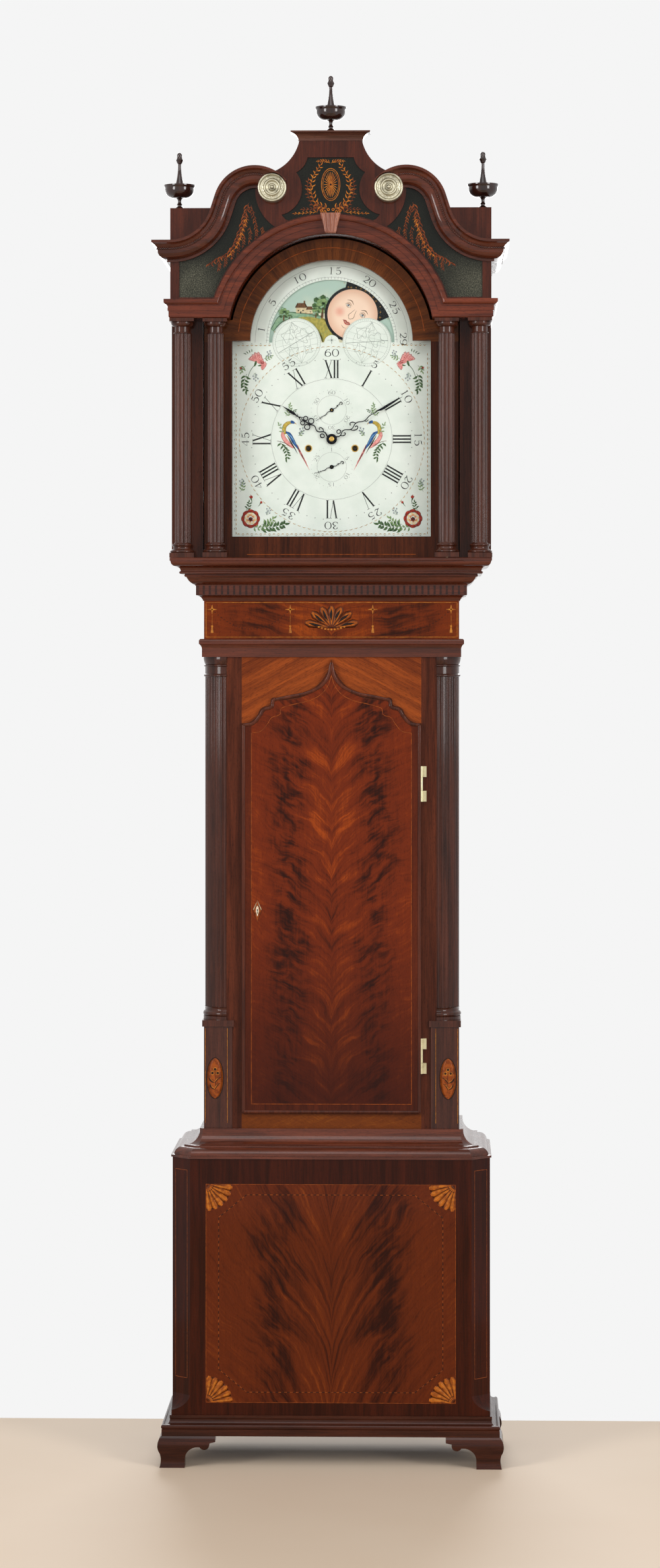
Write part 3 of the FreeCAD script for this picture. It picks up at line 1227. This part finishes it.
def hood_door_hinges():
    """Brass pivots under and over the right column."""
    x, d = INNER_COLUMN_X, COLUMN_DEPTH
    low = Z_HOOD_COLUMN + HOOD_DOOR_PLAY
    high = Z_ENTABLATURE - HOOD_DOOR_PLAY
    reach = PIVOT_LENGTH + HOOD_DOOR_PLAY
    return group([post(x, d, PIVOT_RADIUS, low - reach, low), post(x, d, PIVOT_RADIUS, high, high + reach)])


# Dial and hands


def dial_plate():
    """The painted iron dial on its four feet, with the moon aperture and the stud of the moon disc."""
    plate = dial_sight(DIAL_BACK, DIAL_FRONT, DIAL_MARGIN)
    half_disc = rod(0.0, Z_MOON, MOON_APERTURE_RADIUS, DIAL_BACK, DIAL_FRONT)
    wide = MOON_APERTURE_RADIUS
    aperture = half_disc.common(box(-wide, wide, DIAL_BACK, DIAL_FRONT, Z_MOON, Z_MOON + wide))
    for hump in both(rod(-HUMP_X, Z_MOON, HUMP_RADIUS, DIAL_BACK, DIAL_FRONT)):
        aperture = aperture.cut(hump)
    aperture = aperture.cut(rod(0.0, Z_MOON, MOON_HUB_RADIUS, DIAL_BACK, DIAL_FRONT))
    plate = plate.cut(aperture)
    holes = [(0.0, Z_DIAL, HOUR_PIPE_RADIUS + 0.6), (0.0, Z_DIAL + SECONDS_RISE, ARBOR_RADIUS),
             (0.0, Z_DIAL - DATE_DROP, DATE_ARBOR_RADIUS + RUNNING_CLEARANCE)]
    for side in (-1.0, 1.0):
        holes.append((side * WINDING_X, Z_DIAL - WINDING_DROP, WINDING_HOLE_RADIUS))
    for x, z, radius in holes:
        plate = plate.cut(rod(x, z, radius, DIAL_BACK, DIAL_FRONT))
    feet = []
    for z in (Z_PLATES + DIAL_FOOT_INSET, Z_ANCHOR - DIAL_FOOT_INSET):
        feet.extend(both(rod(DIAL_FOOT_X, z, DIAL_FOOT_RADIUS, FRONT_OUTSIDE, DIAL_BACK)))
    stud = rod(0.0, Z_MOON, ARBOR_RADIUS, DIAL_BACK - 2.0 * MOON_DISC_GAP - MOON_DISC, DIAL_BACK)
    return group([plate] + feet + [stud])


def moon_disc():
    front = DIAL_BACK - MOON_DISC_GAP
    disc = rod(0.0, Z_MOON, MOON_DISC_RADIUS, front - MOON_DISC, front)
    return disc.cut(rod(0.0, Z_MOON, ARBOR_RADIUS + RUNNING_CLEARANCE, front - MOON_DISC, front))


def hand(z, gap, angle, length, boss, bore, bars, rings):
    """A flat hand that points up, then turned clockwise: bars and rings are shares of its length."""
    d0 = DIAL_FRONT + gap
    d1 = d0 + HAND_THICKNESS
    pieces = [rod(0.0, z, boss, d0, d1)]
    for low, high, low_half, high_half in bars:
        narrow = low_half * length
        wide = high_half * length
        pieces.append(slab(d0, d1, (-narrow, z + low * length), (narrow, z + low * length),
                           (wide, z + high * length), (-wide, z + high * length)))
    for x, up, outer, inner in rings:
        ring = rod(x * length, z + up * length, outer * length, d0, d1)
        pieces.append(ring.cut(rod(x * length, z + up * length, inner * length, d0, d1)))
    whole = fuse(pieces).cut(rod(0.0, z, bore, d0, d1))
    whole.rotate(vec(0.0, 0.0, z), FreeCAD.Vector(0, 1, 0), angle)
    return whole


def minute_hand():
    return hand(Z_DIAL, MINUTE_HAND_GAP, MINUTE_HAND_ANGLE, MINUTE_HAND_LENGTH, MINUTE_BOSS_RADIUS,
                ARBOR_RADIUS + RUNNING_CLEARANCE,
                [(0.03, 0.2, 0.014, 0.011), (0.35, 0.6, 0.009, 0.022), (0.6, 1.0, 0.022, 0.0035)],
                [(-0.022, 0.22, 0.032, 0.022), (0.022, 0.265, 0.032, 0.022), (-0.018, 0.305, 0.028, 0.019),
                 (0.014, 0.34, 0.024, 0.015)])


def hour_hand():
    return hand(Z_DIAL, HOUR_HAND_GAP, HOUR_HAND_ANGLE, HOUR_HAND_LENGTH, HOUR_BOSS_RADIUS,
                HOUR_PIPE_RADIUS + RUNNING_CLEARANCE,
                [(0.07, 0.27, 0.02, 0.019), (0.5, 0.66, 0.014, 0.04), (0.66, 1.0, 0.04, 0.005)],
                [(-0.05, 0.3, 0.06, 0.043), (0.05, 0.3, 0.06, 0.043), (-0.035, 0.39, 0.05, 0.035),
                 (0.035, 0.39, 0.05, 0.035), (0.0, 0.47, 0.044, 0.029)])


def small_hand(z, angle, bore):
    tail = SMALL_HAND_TAIL / SMALL_HAND_LENGTH
    return hand(z, SMALL_HAND_GAP, angle, SMALL_HAND_LENGTH, SMALL_BOSS_RADIUS, bore,
                [(0.06, 0.3, 0.028, 0.028), (0.44, 0.66, 0.025, 0.06), (0.66, 1.0, 0.06, 0.011),
                 (-0.72 * tail, -0.06, 0.028, 0.028)],
                [(0.0, 0.37, 0.082, 0.05), (0.0, -0.83 * tail, 0.17 * tail, 0.1 * tail)])


def seconds_hand():
    return small_hand(Z_DIAL + SECONDS_RISE, SECONDS_HAND_ANGLE, ARBOR_PIVOT_RADIUS + RUNNING_CLEARANCE)


def date_hand():
    """The date pointer with its own short arbor through the dial."""
    z = Z_DIAL - DATE_DROP
    pointer = small_hand(z, DATE_HAND_ANGLE, ARBOR_PIVOT_RADIUS)
    tail = DIAL_BACK - DATE_ARBOR_TAIL
    spindle = rod(0.0, z, DATE_ARBOR_RADIUS, tail, DIAL_FRONT + SMALL_HAND_GAP + HAND_THICKNESS)
    collar = rod(0.0, z, 2.0 * DATE_ARBOR_RADIUS, tail + DATE_ARBOR_TAIL / 2.0, DIAL_BACK - GLASS_GAP)
    return fuse([pointer, spindle, collar])


# Movement: each wheel, pinion and arbor is one riveted piece


def gear(x, z, teeth, module, d0, d1, phase):
    """A wheel or pinion with plain straight-sided teeth and easy clearance."""
    radius = module * teeth / 2.0
    tip = radius + ADDENDUM * module
    root = radius - DEDENDUM * module
    pitch = 2.0 * math.pi / teeth
    points = []
    for i in range(teeth):
        middle = phase + i * pitch
        for share, distance in ((-TOOTH_ROOT_SHARE, root), (-TOOTH_TIP_SHARE, tip),
                                (TOOTH_TIP_SHARE, tip), (TOOTH_ROOT_SHARE, root)):
            angle = middle + share * pitch
            points.append((x + distance * math.cos(angle), z + distance * math.sin(angle)))
    return slab(d0, d1, *points)


def mesh_phase(driver, driven, driven_teeth):
    """Turns of two wheels in mesh, so that a tooth of one stands in a gap of the other."""
    line = math.atan2(driven[1] - driver[1], driven[0] - driver[0])
    return line, line + math.pi + math.pi / driven_teeth


def arbor(x, z):
    """A steel arbor between the plates, with a pivot through each."""
    body = rod(x, z, ARBOR_BODY_RADIUS, BACK_INSIDE + ARBOR_SHAKE, FRONT_PLATE_DEPTH - ARBOR_SHAKE)
    pivots = rod(x, z, ARBOR_PIVOT_RADIUS, BACK_PLATE_DEPTH - ARBOR_SHAKE, FRONT_OUTSIDE + ARBOR_SHAKE)
    return fuse([body, pivots])


def arbor_holes():
    """Every pivot hole in the plates, as x, z, radius in front and radius behind."""
    small = ARBOR_PIVOT_RADIUS + RUNNING_CLEARANCE
    large = BARREL_ARBOR_RADIUS + RUNNING_CLEARANCE
    centre = ARBOR_RADIUS + RUNNING_CLEARANCE
    return [(0.0, Z_DIAL, centre, centre), (THIRD_X, Z_THIRD, small, small), (0.0, Z_ESCAPE, small, small),
            (0.0, Z_ANCHOR, small, 2.0 * ARBOR_RADIUS), (WINDING_X, Z_WINDING, large, large),
            (STRIKE_X, Z_WINDING, large, large), (PIN_WHEEL_X, Z_PIN_WHEEL, small, small),
            (HAMMER_X, Z_HAMMER, small, small)]


def movement_frame():
    """Two brass plates, four pillars, the minute wheel's stud and the bell stand."""
    high = Z_PLATES + PLATE_HEIGHT
    front = box(-PLATE_HALF, PLATE_HALF, FRONT_PLATE_DEPTH, FRONT_OUTSIDE, Z_PLATES, high)
    back = box(-PLATE_HALF, PLATE_HALF, BACK_PLATE_DEPTH, BACK_INSIDE, Z_PLATES, high)
    for x, z, front_radius, back_radius in arbor_holes():
        front = front.cut(rod(x, z, front_radius, FRONT_PLATE_DEPTH, FRONT_OUTSIDE))
        back = back.cut(rod(x, z, back_radius, BACK_PLATE_DEPTH, BACK_INSIDE))
    pillars = []
    for z in (Z_PLATES + PILLAR_INSET, high - PILLAR_INSET):
        pillars.extend(both(rod(PILLAR_X, z, PILLAR_RADIUS, BACK_INSIDE, FRONT_PLATE_DEPTH)))
    stud = rod(0.0, Z_MINUTE_WHEEL, ARBOR_PIVOT_RADIUS, FRONT_OUTSIDE, MOTION_DEPTH + 5.0 * WHEEL)
    arm_low = Z_BELL + BELL_HEIGHT + BELL_STUD
    reach = BELL_RADIUS + BELL_ARM_GAP
    behind = BACK_PLATE_DEPTH - PLATE
    pad = 0.4 * BELL_ARM
    strip = box(reach - BELL_ARM, reach, behind, BACK_PLATE_DEPTH, high - 2.0 * BELL_ARM, arm_low)
    arm = prism(arm_low, arm_low + PLATE, (reach, behind), (reach, BACK_PLATE_DEPTH),
                (pad, BELL_DEPTH + pad), (-pad, BELL_DEPTH + pad), (-pad, BELL_DEPTH - pad),
                (reach - BELL_ARM, behind))
    return group([front, back] + pillars + [stud, fuse([strip, arm])])


def bell():
    r = BELL_RADIUS
    tall = BELL_HEIGHT
    wall = BELL_WALL
    cup = turned(0.0, BELL_DEPTH, Z_BELL, (r - wall, 0.0), (r, 0.0),
                 ((0.82 * r, 0.66 * tall), (0.25 * r, 0.97 * tall)), (0.0, tall), (0.0, tall - wall),
                 (0.25 * r - 0.5 * wall, 0.97 * tall - wall),
                 ((0.82 * r - wall, 0.66 * tall - 0.5 * wall), (r - wall, 0.0)))
    crown = Z_BELL + tall
    return fuse([cup, post(0.0, BELL_DEPTH, BELL_STUD_RADIUS, crown - wall, crown + BELL_STUD)])


def hammer():
    """The striking hammer on its arbor, its head just clear of the bell."""
    thick = HAMMER_HEAD / 6.0
    half = HAMMER_HEAD / 3.0
    head_z = Z_BELL + 2.0 * half
    head_x = -BELL_RADIUS - HAMMER_GAP - HAMMER_HEAD / 2.0
    arm = slab(BELL_DEPTH - thick, BELL_DEPTH + thick, (HAMMER_X - half, Z_HAMMER - half),
               (HAMMER_X + half, Z_HAMMER - half), (HAMMER_X + half, Z_HAMMER + half),
               (head_x + thick, head_z), (head_x - thick, head_z))
    head = Part.makeCylinder(HAMMER_RADIUS, HAMMER_HEAD,
                             vec(head_x - HAMMER_HEAD / 2.0, BELL_DEPTH, head_z), ACROSS)
    return fuse([arbor(HAMMER_X, Z_HAMMER), arm, head])


def back_cock():
    """The bracket behind the back plate that carries the anchor's rear pivot and the pendulum."""
    half = COCK_HALF
    back = PENDULUM_DEPTH + COCK_GAP
    front = back + PLATE
    plate = box(-half, half, back, front, Z_ANCHOR - 0.55 * half, Z_ANCHOR + half)
    feet = both(box(half - COCK_FOOT, half, front, BACK_PLATE_DEPTH, Z_ANCHOR + 2.0, Z_ANCHOR + 0.6 * half))
    tongue_low = Z_ANCHOR + SUSPENSION_HALF
    tongue = box(-COCK_GAP, COCK_GAP, PENDULUM_DEPTH - COCK_FOOT, back, tongue_low, tongue_low + COCK_FOOT)
    pivot = rod(0.0, Z_ANCHOR, ARBOR_PIVOT_RADIUS + RUNNING_CLEARANCE, PENDULUM_DEPTH, BACK_PLATE_DEPTH)
    return fuse([plate, tongue] + feet).cut(pivot)


def centre_wheel():
    """Centre arbor with its wheel, pinion and the cannon that carries the minute hand."""
    here = (0.0, Z_DIAL)
    wheel_phase, _ = mesh_phase(here, (THIRD_X, Z_THIRD), PINION_LEAVES)
    _, pinion_phase = mesh_phase((WINDING_X, Z_WINDING), here, PINION_LEAVES)
    cannon_phase, _ = mesh_phase(here, (0.0, Z_MINUTE_WHEEL), CANNON_TEETH)
    hand = DIAL_FRONT + MINUTE_HAND_GAP
    shaft = rod(*here, ARBOR_RADIUS, BACK_PLATE_DEPTH - ARBOR_SHAKE, hand + 2.0 * HAND_THICKNESS)
    pinion = gear(*here, PINION_LEAVES, GREAT_MODULE, GREAT_WHEEL_DEPTH - PINION_SPARE,
                  GREAT_WHEEL_DEPTH + GREAT_WHEEL + PINION_SPARE, pinion_phase)
    wheel = gear(*here, CENTRE_TEETH, TRAIN_MODULE, CENTRE_WHEEL_DEPTH, CENTRE_WHEEL_DEPTH + WHEEL,
                 wheel_phase)
    cannon_wheel = gear(*here, CANNON_TEETH, MOTION_MODULE, MOTION_DEPTH, MOTION_DEPTH + WHEEL, cannon_phase)
    cannon = rod(*here, CANNON_RADIUS, MOTION_DEPTH, hand)
    return fuse([shaft, pinion, wheel, cannon_wheel, cannon])


def minute_wheel():
    here = (0.0, Z_MINUTE_WHEEL)
    motion = MOTION_DEPTH
    _, wheel_phase = mesh_phase((0.0, Z_DIAL), here, CANNON_TEETH)
    pinion_phase, _ = mesh_phase(here, (0.0, Z_DIAL), HOUR_TEETH)
    whole = fuse([gear(*here, CANNON_TEETH, MOTION_MODULE, motion, motion + WHEEL, wheel_phase),
                  gear(*here, HOUR_LEAVES, HOUR_MODULE, motion + WHEEL, motion + 4.5 * WHEEL, pinion_phase)])
    return whole.cut(rod(*here, ARBOR_PIVOT_RADIUS + RUNNING_CLEARANCE, motion, motion + 4.5 * WHEEL))


def hour_wheel():
    """Hour wheel on its pipe, which turns on the cannon and carries the hour hand."""
    low = MOTION_DEPTH + 3.0 * WHEEL
    _, phase = mesh_phase((0.0, Z_MINUTE_WHEEL), (0.0, Z_DIAL), HOUR_TEETH)
    end = DIAL_FRONT + HOUR_HAND_GAP + HAND_THICKNESS
    whole = fuse([gear(0.0, Z_DIAL, HOUR_TEETH, HOUR_MODULE, low, low + WHEEL, phase),
                  rod(0.0, Z_DIAL, HOUR_PIPE_RADIUS, low, end)])
    return whole.cut(rod(0.0, Z_DIAL, CANNON_RADIUS + RUNNING_CLEARANCE, low, end))


def third_wheel():
    here = (THIRD_X, Z_THIRD)
    _, pinion_phase = mesh_phase((0.0, Z_DIAL), here, PINION_LEAVES)
    wheel_phase, _ = mesh_phase(here, (0.0, Z_ESCAPE), ESCAPE_LEAVES)
    pinion = gear(*here, PINION_LEAVES, TRAIN_MODULE, CENTRE_WHEEL_DEPTH - PINION_SPARE,
                  CENTRE_WHEEL_DEPTH + WHEEL + PINION_SPARE, pinion_phase)
    wheel = gear(*here, THIRD_TEETH, TRAIN_MODULE, THIRD_WHEEL_DEPTH, THIRD_WHEEL_DEPTH + WHEEL, wheel_phase)
    return fuse([arbor(*here), pinion, wheel])


def escape_wheel():
    """Escape wheel and pinion, with the long front pivot that carries the seconds hand."""
    here = (0.0, Z_ESCAPE)
    _, pinion_phase = mesh_phase((THIRD_X, Z_THIRD), here, ESCAPE_LEAVES)
    points = []
    pitch = 2.0 * math.pi / ESCAPE_TEETH
    for i in range(ESCAPE_TEETH):
        for share, distance in ((0.0, ESCAPE_RADIUS), (0.12, ESCAPE_RADIUS),
                                (0.4, 0.8 * ESCAPE_RADIUS), (0.9, 0.8 * ESCAPE_RADIUS)):
            angle = -(i + share) * pitch
            points.append((distance * math.sin(angle), Z_ESCAPE + distance * math.cos(angle)))
    wheel = slab(ESCAPE_WHEEL_DEPTH, ESCAPE_WHEEL_DEPTH + WHEEL, *points)
    tip = DIAL_FRONT + SMALL_HAND_GAP + 1.5 * HAND_THICKNESS
    front = rod(*here, ARBOR_PIVOT_RADIUS, FRONT_PLATE_DEPTH, tip)
    pinion = gear(*here, ESCAPE_LEAVES, TRAIN_MODULE, THIRD_WHEEL_DEPTH - PINION_SPARE,
                  THIRD_WHEEL_DEPTH + WHEEL + PINION_SPARE, pinion_phase)
    return fuse([arbor(*here), pinion, wheel, front])


def anchor():
    """The anchor on its arbor, with the crutch that drives the pendulum."""
    low = Z_ESCAPE + ESCAPE_RADIUS - 2.5
    span = PALLET_SPAN
    pallets = slab(ESCAPE_WHEEL_DEPTH, ESCAPE_WHEEL_DEPTH + WHEEL, (-span, low), (-span + 3.0, low + 1.0),
                   ((0.0, Z_ANCHOR - 3.4), (span - 3.0, low + 1.0)), (span, low),
                   ((0.0, Z_ANCHOR + 4.6), (-span, low)))
    cock_front = PENDULUM_DEPTH + COCK_GAP + PLATE
    shake = ARBOR_SHAKE
    body = rod(0.0, Z_ANCHOR, ARBOR_BODY_RADIUS, cock_front + 2.0 * shake, FRONT_PLATE_DEPTH - shake)
    pivots = rod(0.0, Z_ANCHOR, ARBOR_PIVOT_RADIUS, cock_front - PLATE + shake, FRONT_OUTSIDE + shake)
    strap_back = cock_front + CRUTCH
    foot = Z_ANCHOR - CRUTCH_LENGTH
    strap = box(-CRUTCH_HALF, CRUTCH_HALF, strap_back, strap_back + CRUTCH, foot, Z_ANCHOR + CRUTCH_HALF)
    slot = PENDULUM_ROD_RADIUS + LINE_GAP
    ends = 2.0 * PENDULUM_ROD_RADIUS
    prong = slot + ends
    fork = box(-prong, prong, PENDULUM_DEPTH - ends, strap_back + CRUTCH, foot, foot + ends)
    fork = fork.cut(box(-slot, slot, PENDULUM_DEPTH - ends, PENDULUM_DEPTH + ends, foot, foot + ends))
    return fuse([pallets, body, pivots, strap, fork])


def pendulum():
    """Suspension block, rod, lens-shaped bob and rating nut."""
    d = PENDULUM_DEPTH
    half = BOB_THICKNESS / 2.0
    bob = turned_forward(0.0, d, Z_BOB, (BOB_RADIUS, -BOB_EDGE), (BOB_RADIUS, BOB_EDGE),
                         dome(BOB_RADIUS, half - BOB_EDGE, half), (0.0, 0.0))
    bob = fuse([bob, bob.mirror(vec(0.0, d, Z_BOB), FORWARD)])
    low = Z_BOB - BOB_RADIUS - PENDULUM_TAIL
    stem = post(0.0, d, PENDULUM_ROD_RADIUS, low, Z_ANCHOR)
    clamp = SUSPENSION_HALF
    block = box(-clamp, clamp, d - clamp, d + clamp, Z_ANCHOR - 2.5 * clamp, Z_ANCHOR + 0.7 * clamp)
    nut_low = low + PENDULUM_TAIL / 4.0
    nut = post(0.0, d, RATING_NUT_RADIUS, nut_low, nut_low + RATING_NUT)
    return fuse([bob, stem, block, nut])


def going_great_wheel():
    here = (WINDING_X, Z_WINDING)
    phase, _ = mesh_phase(here, (0.0, Z_DIAL), PINION_LEAVES)
    front = GREAT_WHEEL_DEPTH + GREAT_WHEEL
    wheel = gear(*here, GREAT_TEETH, GREAT_MODULE, GREAT_WHEEL_DEPTH, front, phase)
    return wheel.cut(rod(*here, BARREL_ARBOR_RADIUS + RUNNING_CLEARANCE, GREAT_WHEEL_DEPTH, front))


def barrel(x):
    """A line barrel on its arbor, with the square that the key winds."""
    drum = rod(x, Z_WINDING, BARREL_RADIUS, BARREL_DEPTH, BARREL_DEPTH + BARREL_LENGTH)
    shoulder = DIAL_BACK - WINDING_SQUARE
    shaft = rod(x, Z_WINDING, BARREL_ARBOR_RADIUS, BACK_PLATE_DEPTH - ARBOR_SHAKE, shoulder)
    flat = 0.7 * BARREL_ARBOR_RADIUS
    square = box(x - flat, x + flat, shoulder, DIAL_FRONT, Z_WINDING - flat, Z_WINDING + flat)
    return [drum, shaft, square]


def going_barrel():
    return fuse(barrel(WINDING_X))


def strike_barrel():
    """The striking barrel with its great wheel."""
    here = (STRIKE_X, Z_WINDING)
    phase, _ = mesh_phase(here, (PIN_WHEEL_X, Z_PIN_WHEEL), PINION_LEAVES)
    back = GREAT_WHEEL_DEPTH
    wheel = gear(*here, STRIKE_TEETH, GREAT_MODULE, back, back + GREAT_WHEEL, phase)
    return fuse(barrel(STRIKE_X) + [wheel])


def pin_wheel():
    """The wheel whose pins lift the hammer."""
    here = (PIN_WHEEL_X, Z_PIN_WHEEL)
    _, phase = mesh_phase((STRIKE_X, Z_WINDING), here, PINION_LEAVES)
    back = CENTRE_WHEEL_DEPTH
    pinion = gear(*here, PINION_LEAVES, GREAT_MODULE, GREAT_WHEEL_DEPTH - PINION_SPARE,
                  GREAT_WHEEL_DEPTH + GREAT_WHEEL + PINION_SPARE, phase)
    pieces = [arbor(*here), rod(*here, PIN_WHEEL_RADIUS, back, back + WHEEL), pinion]
    reach = PIN_WHEEL_RADIUS - PIN_INSET
    for i in range(PIN_WHEEL_PINS):
        angle = 2.0 * math.pi * i / PIN_WHEEL_PINS
        pieces.append(rod(here[0] + reach * math.cos(angle), here[1] + reach * math.sin(angle),
                          ARBOR_PIVOT_RADIUS, back, back + 1.75 * WHEEL))
    return fuse(pieces)


# Weights on their lines


def weight(side):
    """A brass-cased weight, its hook and stirrup, and the line where it passes under the pulley."""
    near, far = line_hole_places()
    x = (near + far) / 2.0
    z = Z_PULLEY
    top = z - WEIGHT_HANGER
    r = WEIGHT_RADIUS
    tall = WEIGHT_HEIGHT
    edge = WEIGHT_EDGE
    case = turned(x, LINE_DEPTH, top - tall, (0.0, 0.0), (r - edge, 0.0),
                  ((r - 0.3 * edge, 0.3 * edge), (r, edge)), (r, tall - edge),
                  ((r - 0.3 * edge, tall - 0.3 * edge), (r - edge, tall)), (0.0, tall))
    inside = PULLEY_WIDTH / 2.0 + STIRRUP_GAP
    outside = inside + STIRRUP
    half = STIRRUP_HALF
    bridge = z - PULLEY_RADIUS - PULLEY_RIM - 2.0 * STIRRUP
    hook = post(x, LINE_DEPTH, WEIGHT_HOOK_RADIUS, top, bridge)
    bar = box(x - half, x + half, LINE_DEPTH - outside, LINE_DEPTH + outside, bridge - STIRRUP, bridge)
    straps = []
    for d0 in (LINE_DEPTH - outside, LINE_DEPTH + inside):
        straps.append(box(x - half, x + half, d0, d0 + STIRRUP, bridge - STIRRUP, z + half))
    axle = rod(x, z, ARBOR_RADIUS, LINE_DEPTH - outside, LINE_DEPTH + outside)
    body = fuse([case, hook, bar, axle] + straps)
    ring = Part.Wire(Part.makeCircle(LINE_RADIUS, vec(x + PULLEY_RADIUS, LINE_DEPTH, z), UP))
    loop = Part.Face(ring).revolve(vec(x, LINE_DEPTH, z), FreeCAD.Vector(0, 1, 0), 180.0)
    solids = [body, loop]
    if side < 0:
        solids = [both(solid)[1] for solid in solids]
    return group(solids)


def pulley(side):
    """A grooved brass pulley."""
    near, far = line_hole_places()
    x = side * (near + far) / 2.0
    half = PULLEY_WIDTH / 2.0
    bore = ARBOR_RADIUS + RUNNING_CLEARANCE
    groove = PULLEY_RADIUS - LINE_RADIUS - LINE_GAP
    rim = PULLEY_RADIUS + PULLEY_RIM
    floor = LINE_RADIUS + 2.0 * LINE_GAP
    return turned_forward(x, LINE_DEPTH, Z_PULLEY, (bore, -half), (rim, -half), (rim, -2.0 * floor),
                          (groove, -floor), (groove, floor), (rim, 2.0 * floor), (rim, half), (bore, half))


def weight_line(side):
    """The two hanging parts of one gut line, between the seatboard and the pulley."""
    places = [side * x for x in line_hole_places()]
    return group([post(x, LINE_DEPTH, LINE_RADIUS, Z_PULLEY, Z_SEATBOARD) for x in places])


def line_ends():
    """The parts of the lines that run up through the seatboard to the barrels."""
    near, _ = line_hole_places()
    return group(both(post(near, LINE_DEPTH, LINE_RADIUS, Z_SEATBOARD, Z_WINDING)))


arch = entablature()
NODES = {
    "backboard": backboard(),
    "base_boards": base_boards(),
    "plinth_moulding": plinth_moulding(),
    "bracket_feet": bracket_feet(),
    "waist_moulding": waist_moulding(),
    "trunk_sides": trunk_sides(),
    "trunk_front_frame": trunk_front_frame(),
    "trunk_corner_columns": trunk_corner_columns(),
    "frieze_panel": frieze_panel(),
    "frieze_moulding": frieze_moulding(),
    "hood_seat_moulding": hood_seat_moulding(),
    "seatboard": seatboard(),
    "trunk_hinge_pins": trunk_hinge_pins(),
    "trunk_door": trunk_door(),
    "trunk_door_brasses": trunk_door_brasses(),
    "hood_base_moulding": hood_base_moulding(),
    "hood_sides": hood_sides(),
    "hood_front_frame": hood_front_frame(),
    "entablature": arch,
    "keystone": keystone(arch),
    "hood_roof": hood_roof(),
    "tympanum": tympanum(),
    "glass_panels": glass_panels(),
    "swan_necks": swan_necks(),
    "paterae": paterae(),
    "finials": finials(),
    "pediment_cap": pediment_cap(),
    "hood_outer_columns": hood_outer_columns(),
    "hood_door_frame": hood_door_frame(),
    "hood_door_glass": hood_door_glass(),
    "hood_door_columns": hood_door_columns(),
    "hood_door_hinges": hood_door_hinges(),
    "dial_plate": dial_plate(),
    "moon_disc": moon_disc(),
    "minute_hand": minute_hand(),
    "hour_hand": hour_hand(),
    "seconds_hand": seconds_hand(),
    "date_hand": date_hand(),
    "movement_frame": movement_frame(),
    "back_cock": back_cock(),
    "bell": bell(),
    "hammer": hammer(),
    "centre_wheel": centre_wheel(),
    "minute_wheel": minute_wheel(),
    "hour_wheel": hour_wheel(),
    "third_wheel": third_wheel(),
    "escape_wheel": escape_wheel(),
    "anchor": anchor(),
    "pendulum": pendulum(),
    "going_great_wheel": going_great_wheel(),
    "going_barrel": going_barrel(),
    "strike_barrel": strike_barrel(),
    "pin_wheel": pin_wheel(),
    "going_weight": weight(1.0),
    "strike_weight": weight(-1.0),
    "going_pulley": pulley(1.0),
    "strike_pulley": pulley(-1.0),
    "going_line": weight_line(1.0),
    "strike_line": weight_line(-1.0),
    "line_ends": line_ends(),
}

os.makedirs("parts", exist_ok=True)
for name, shape in NODES.items():
    shape.exportStep(os.path.join("parts", name + ".step"))
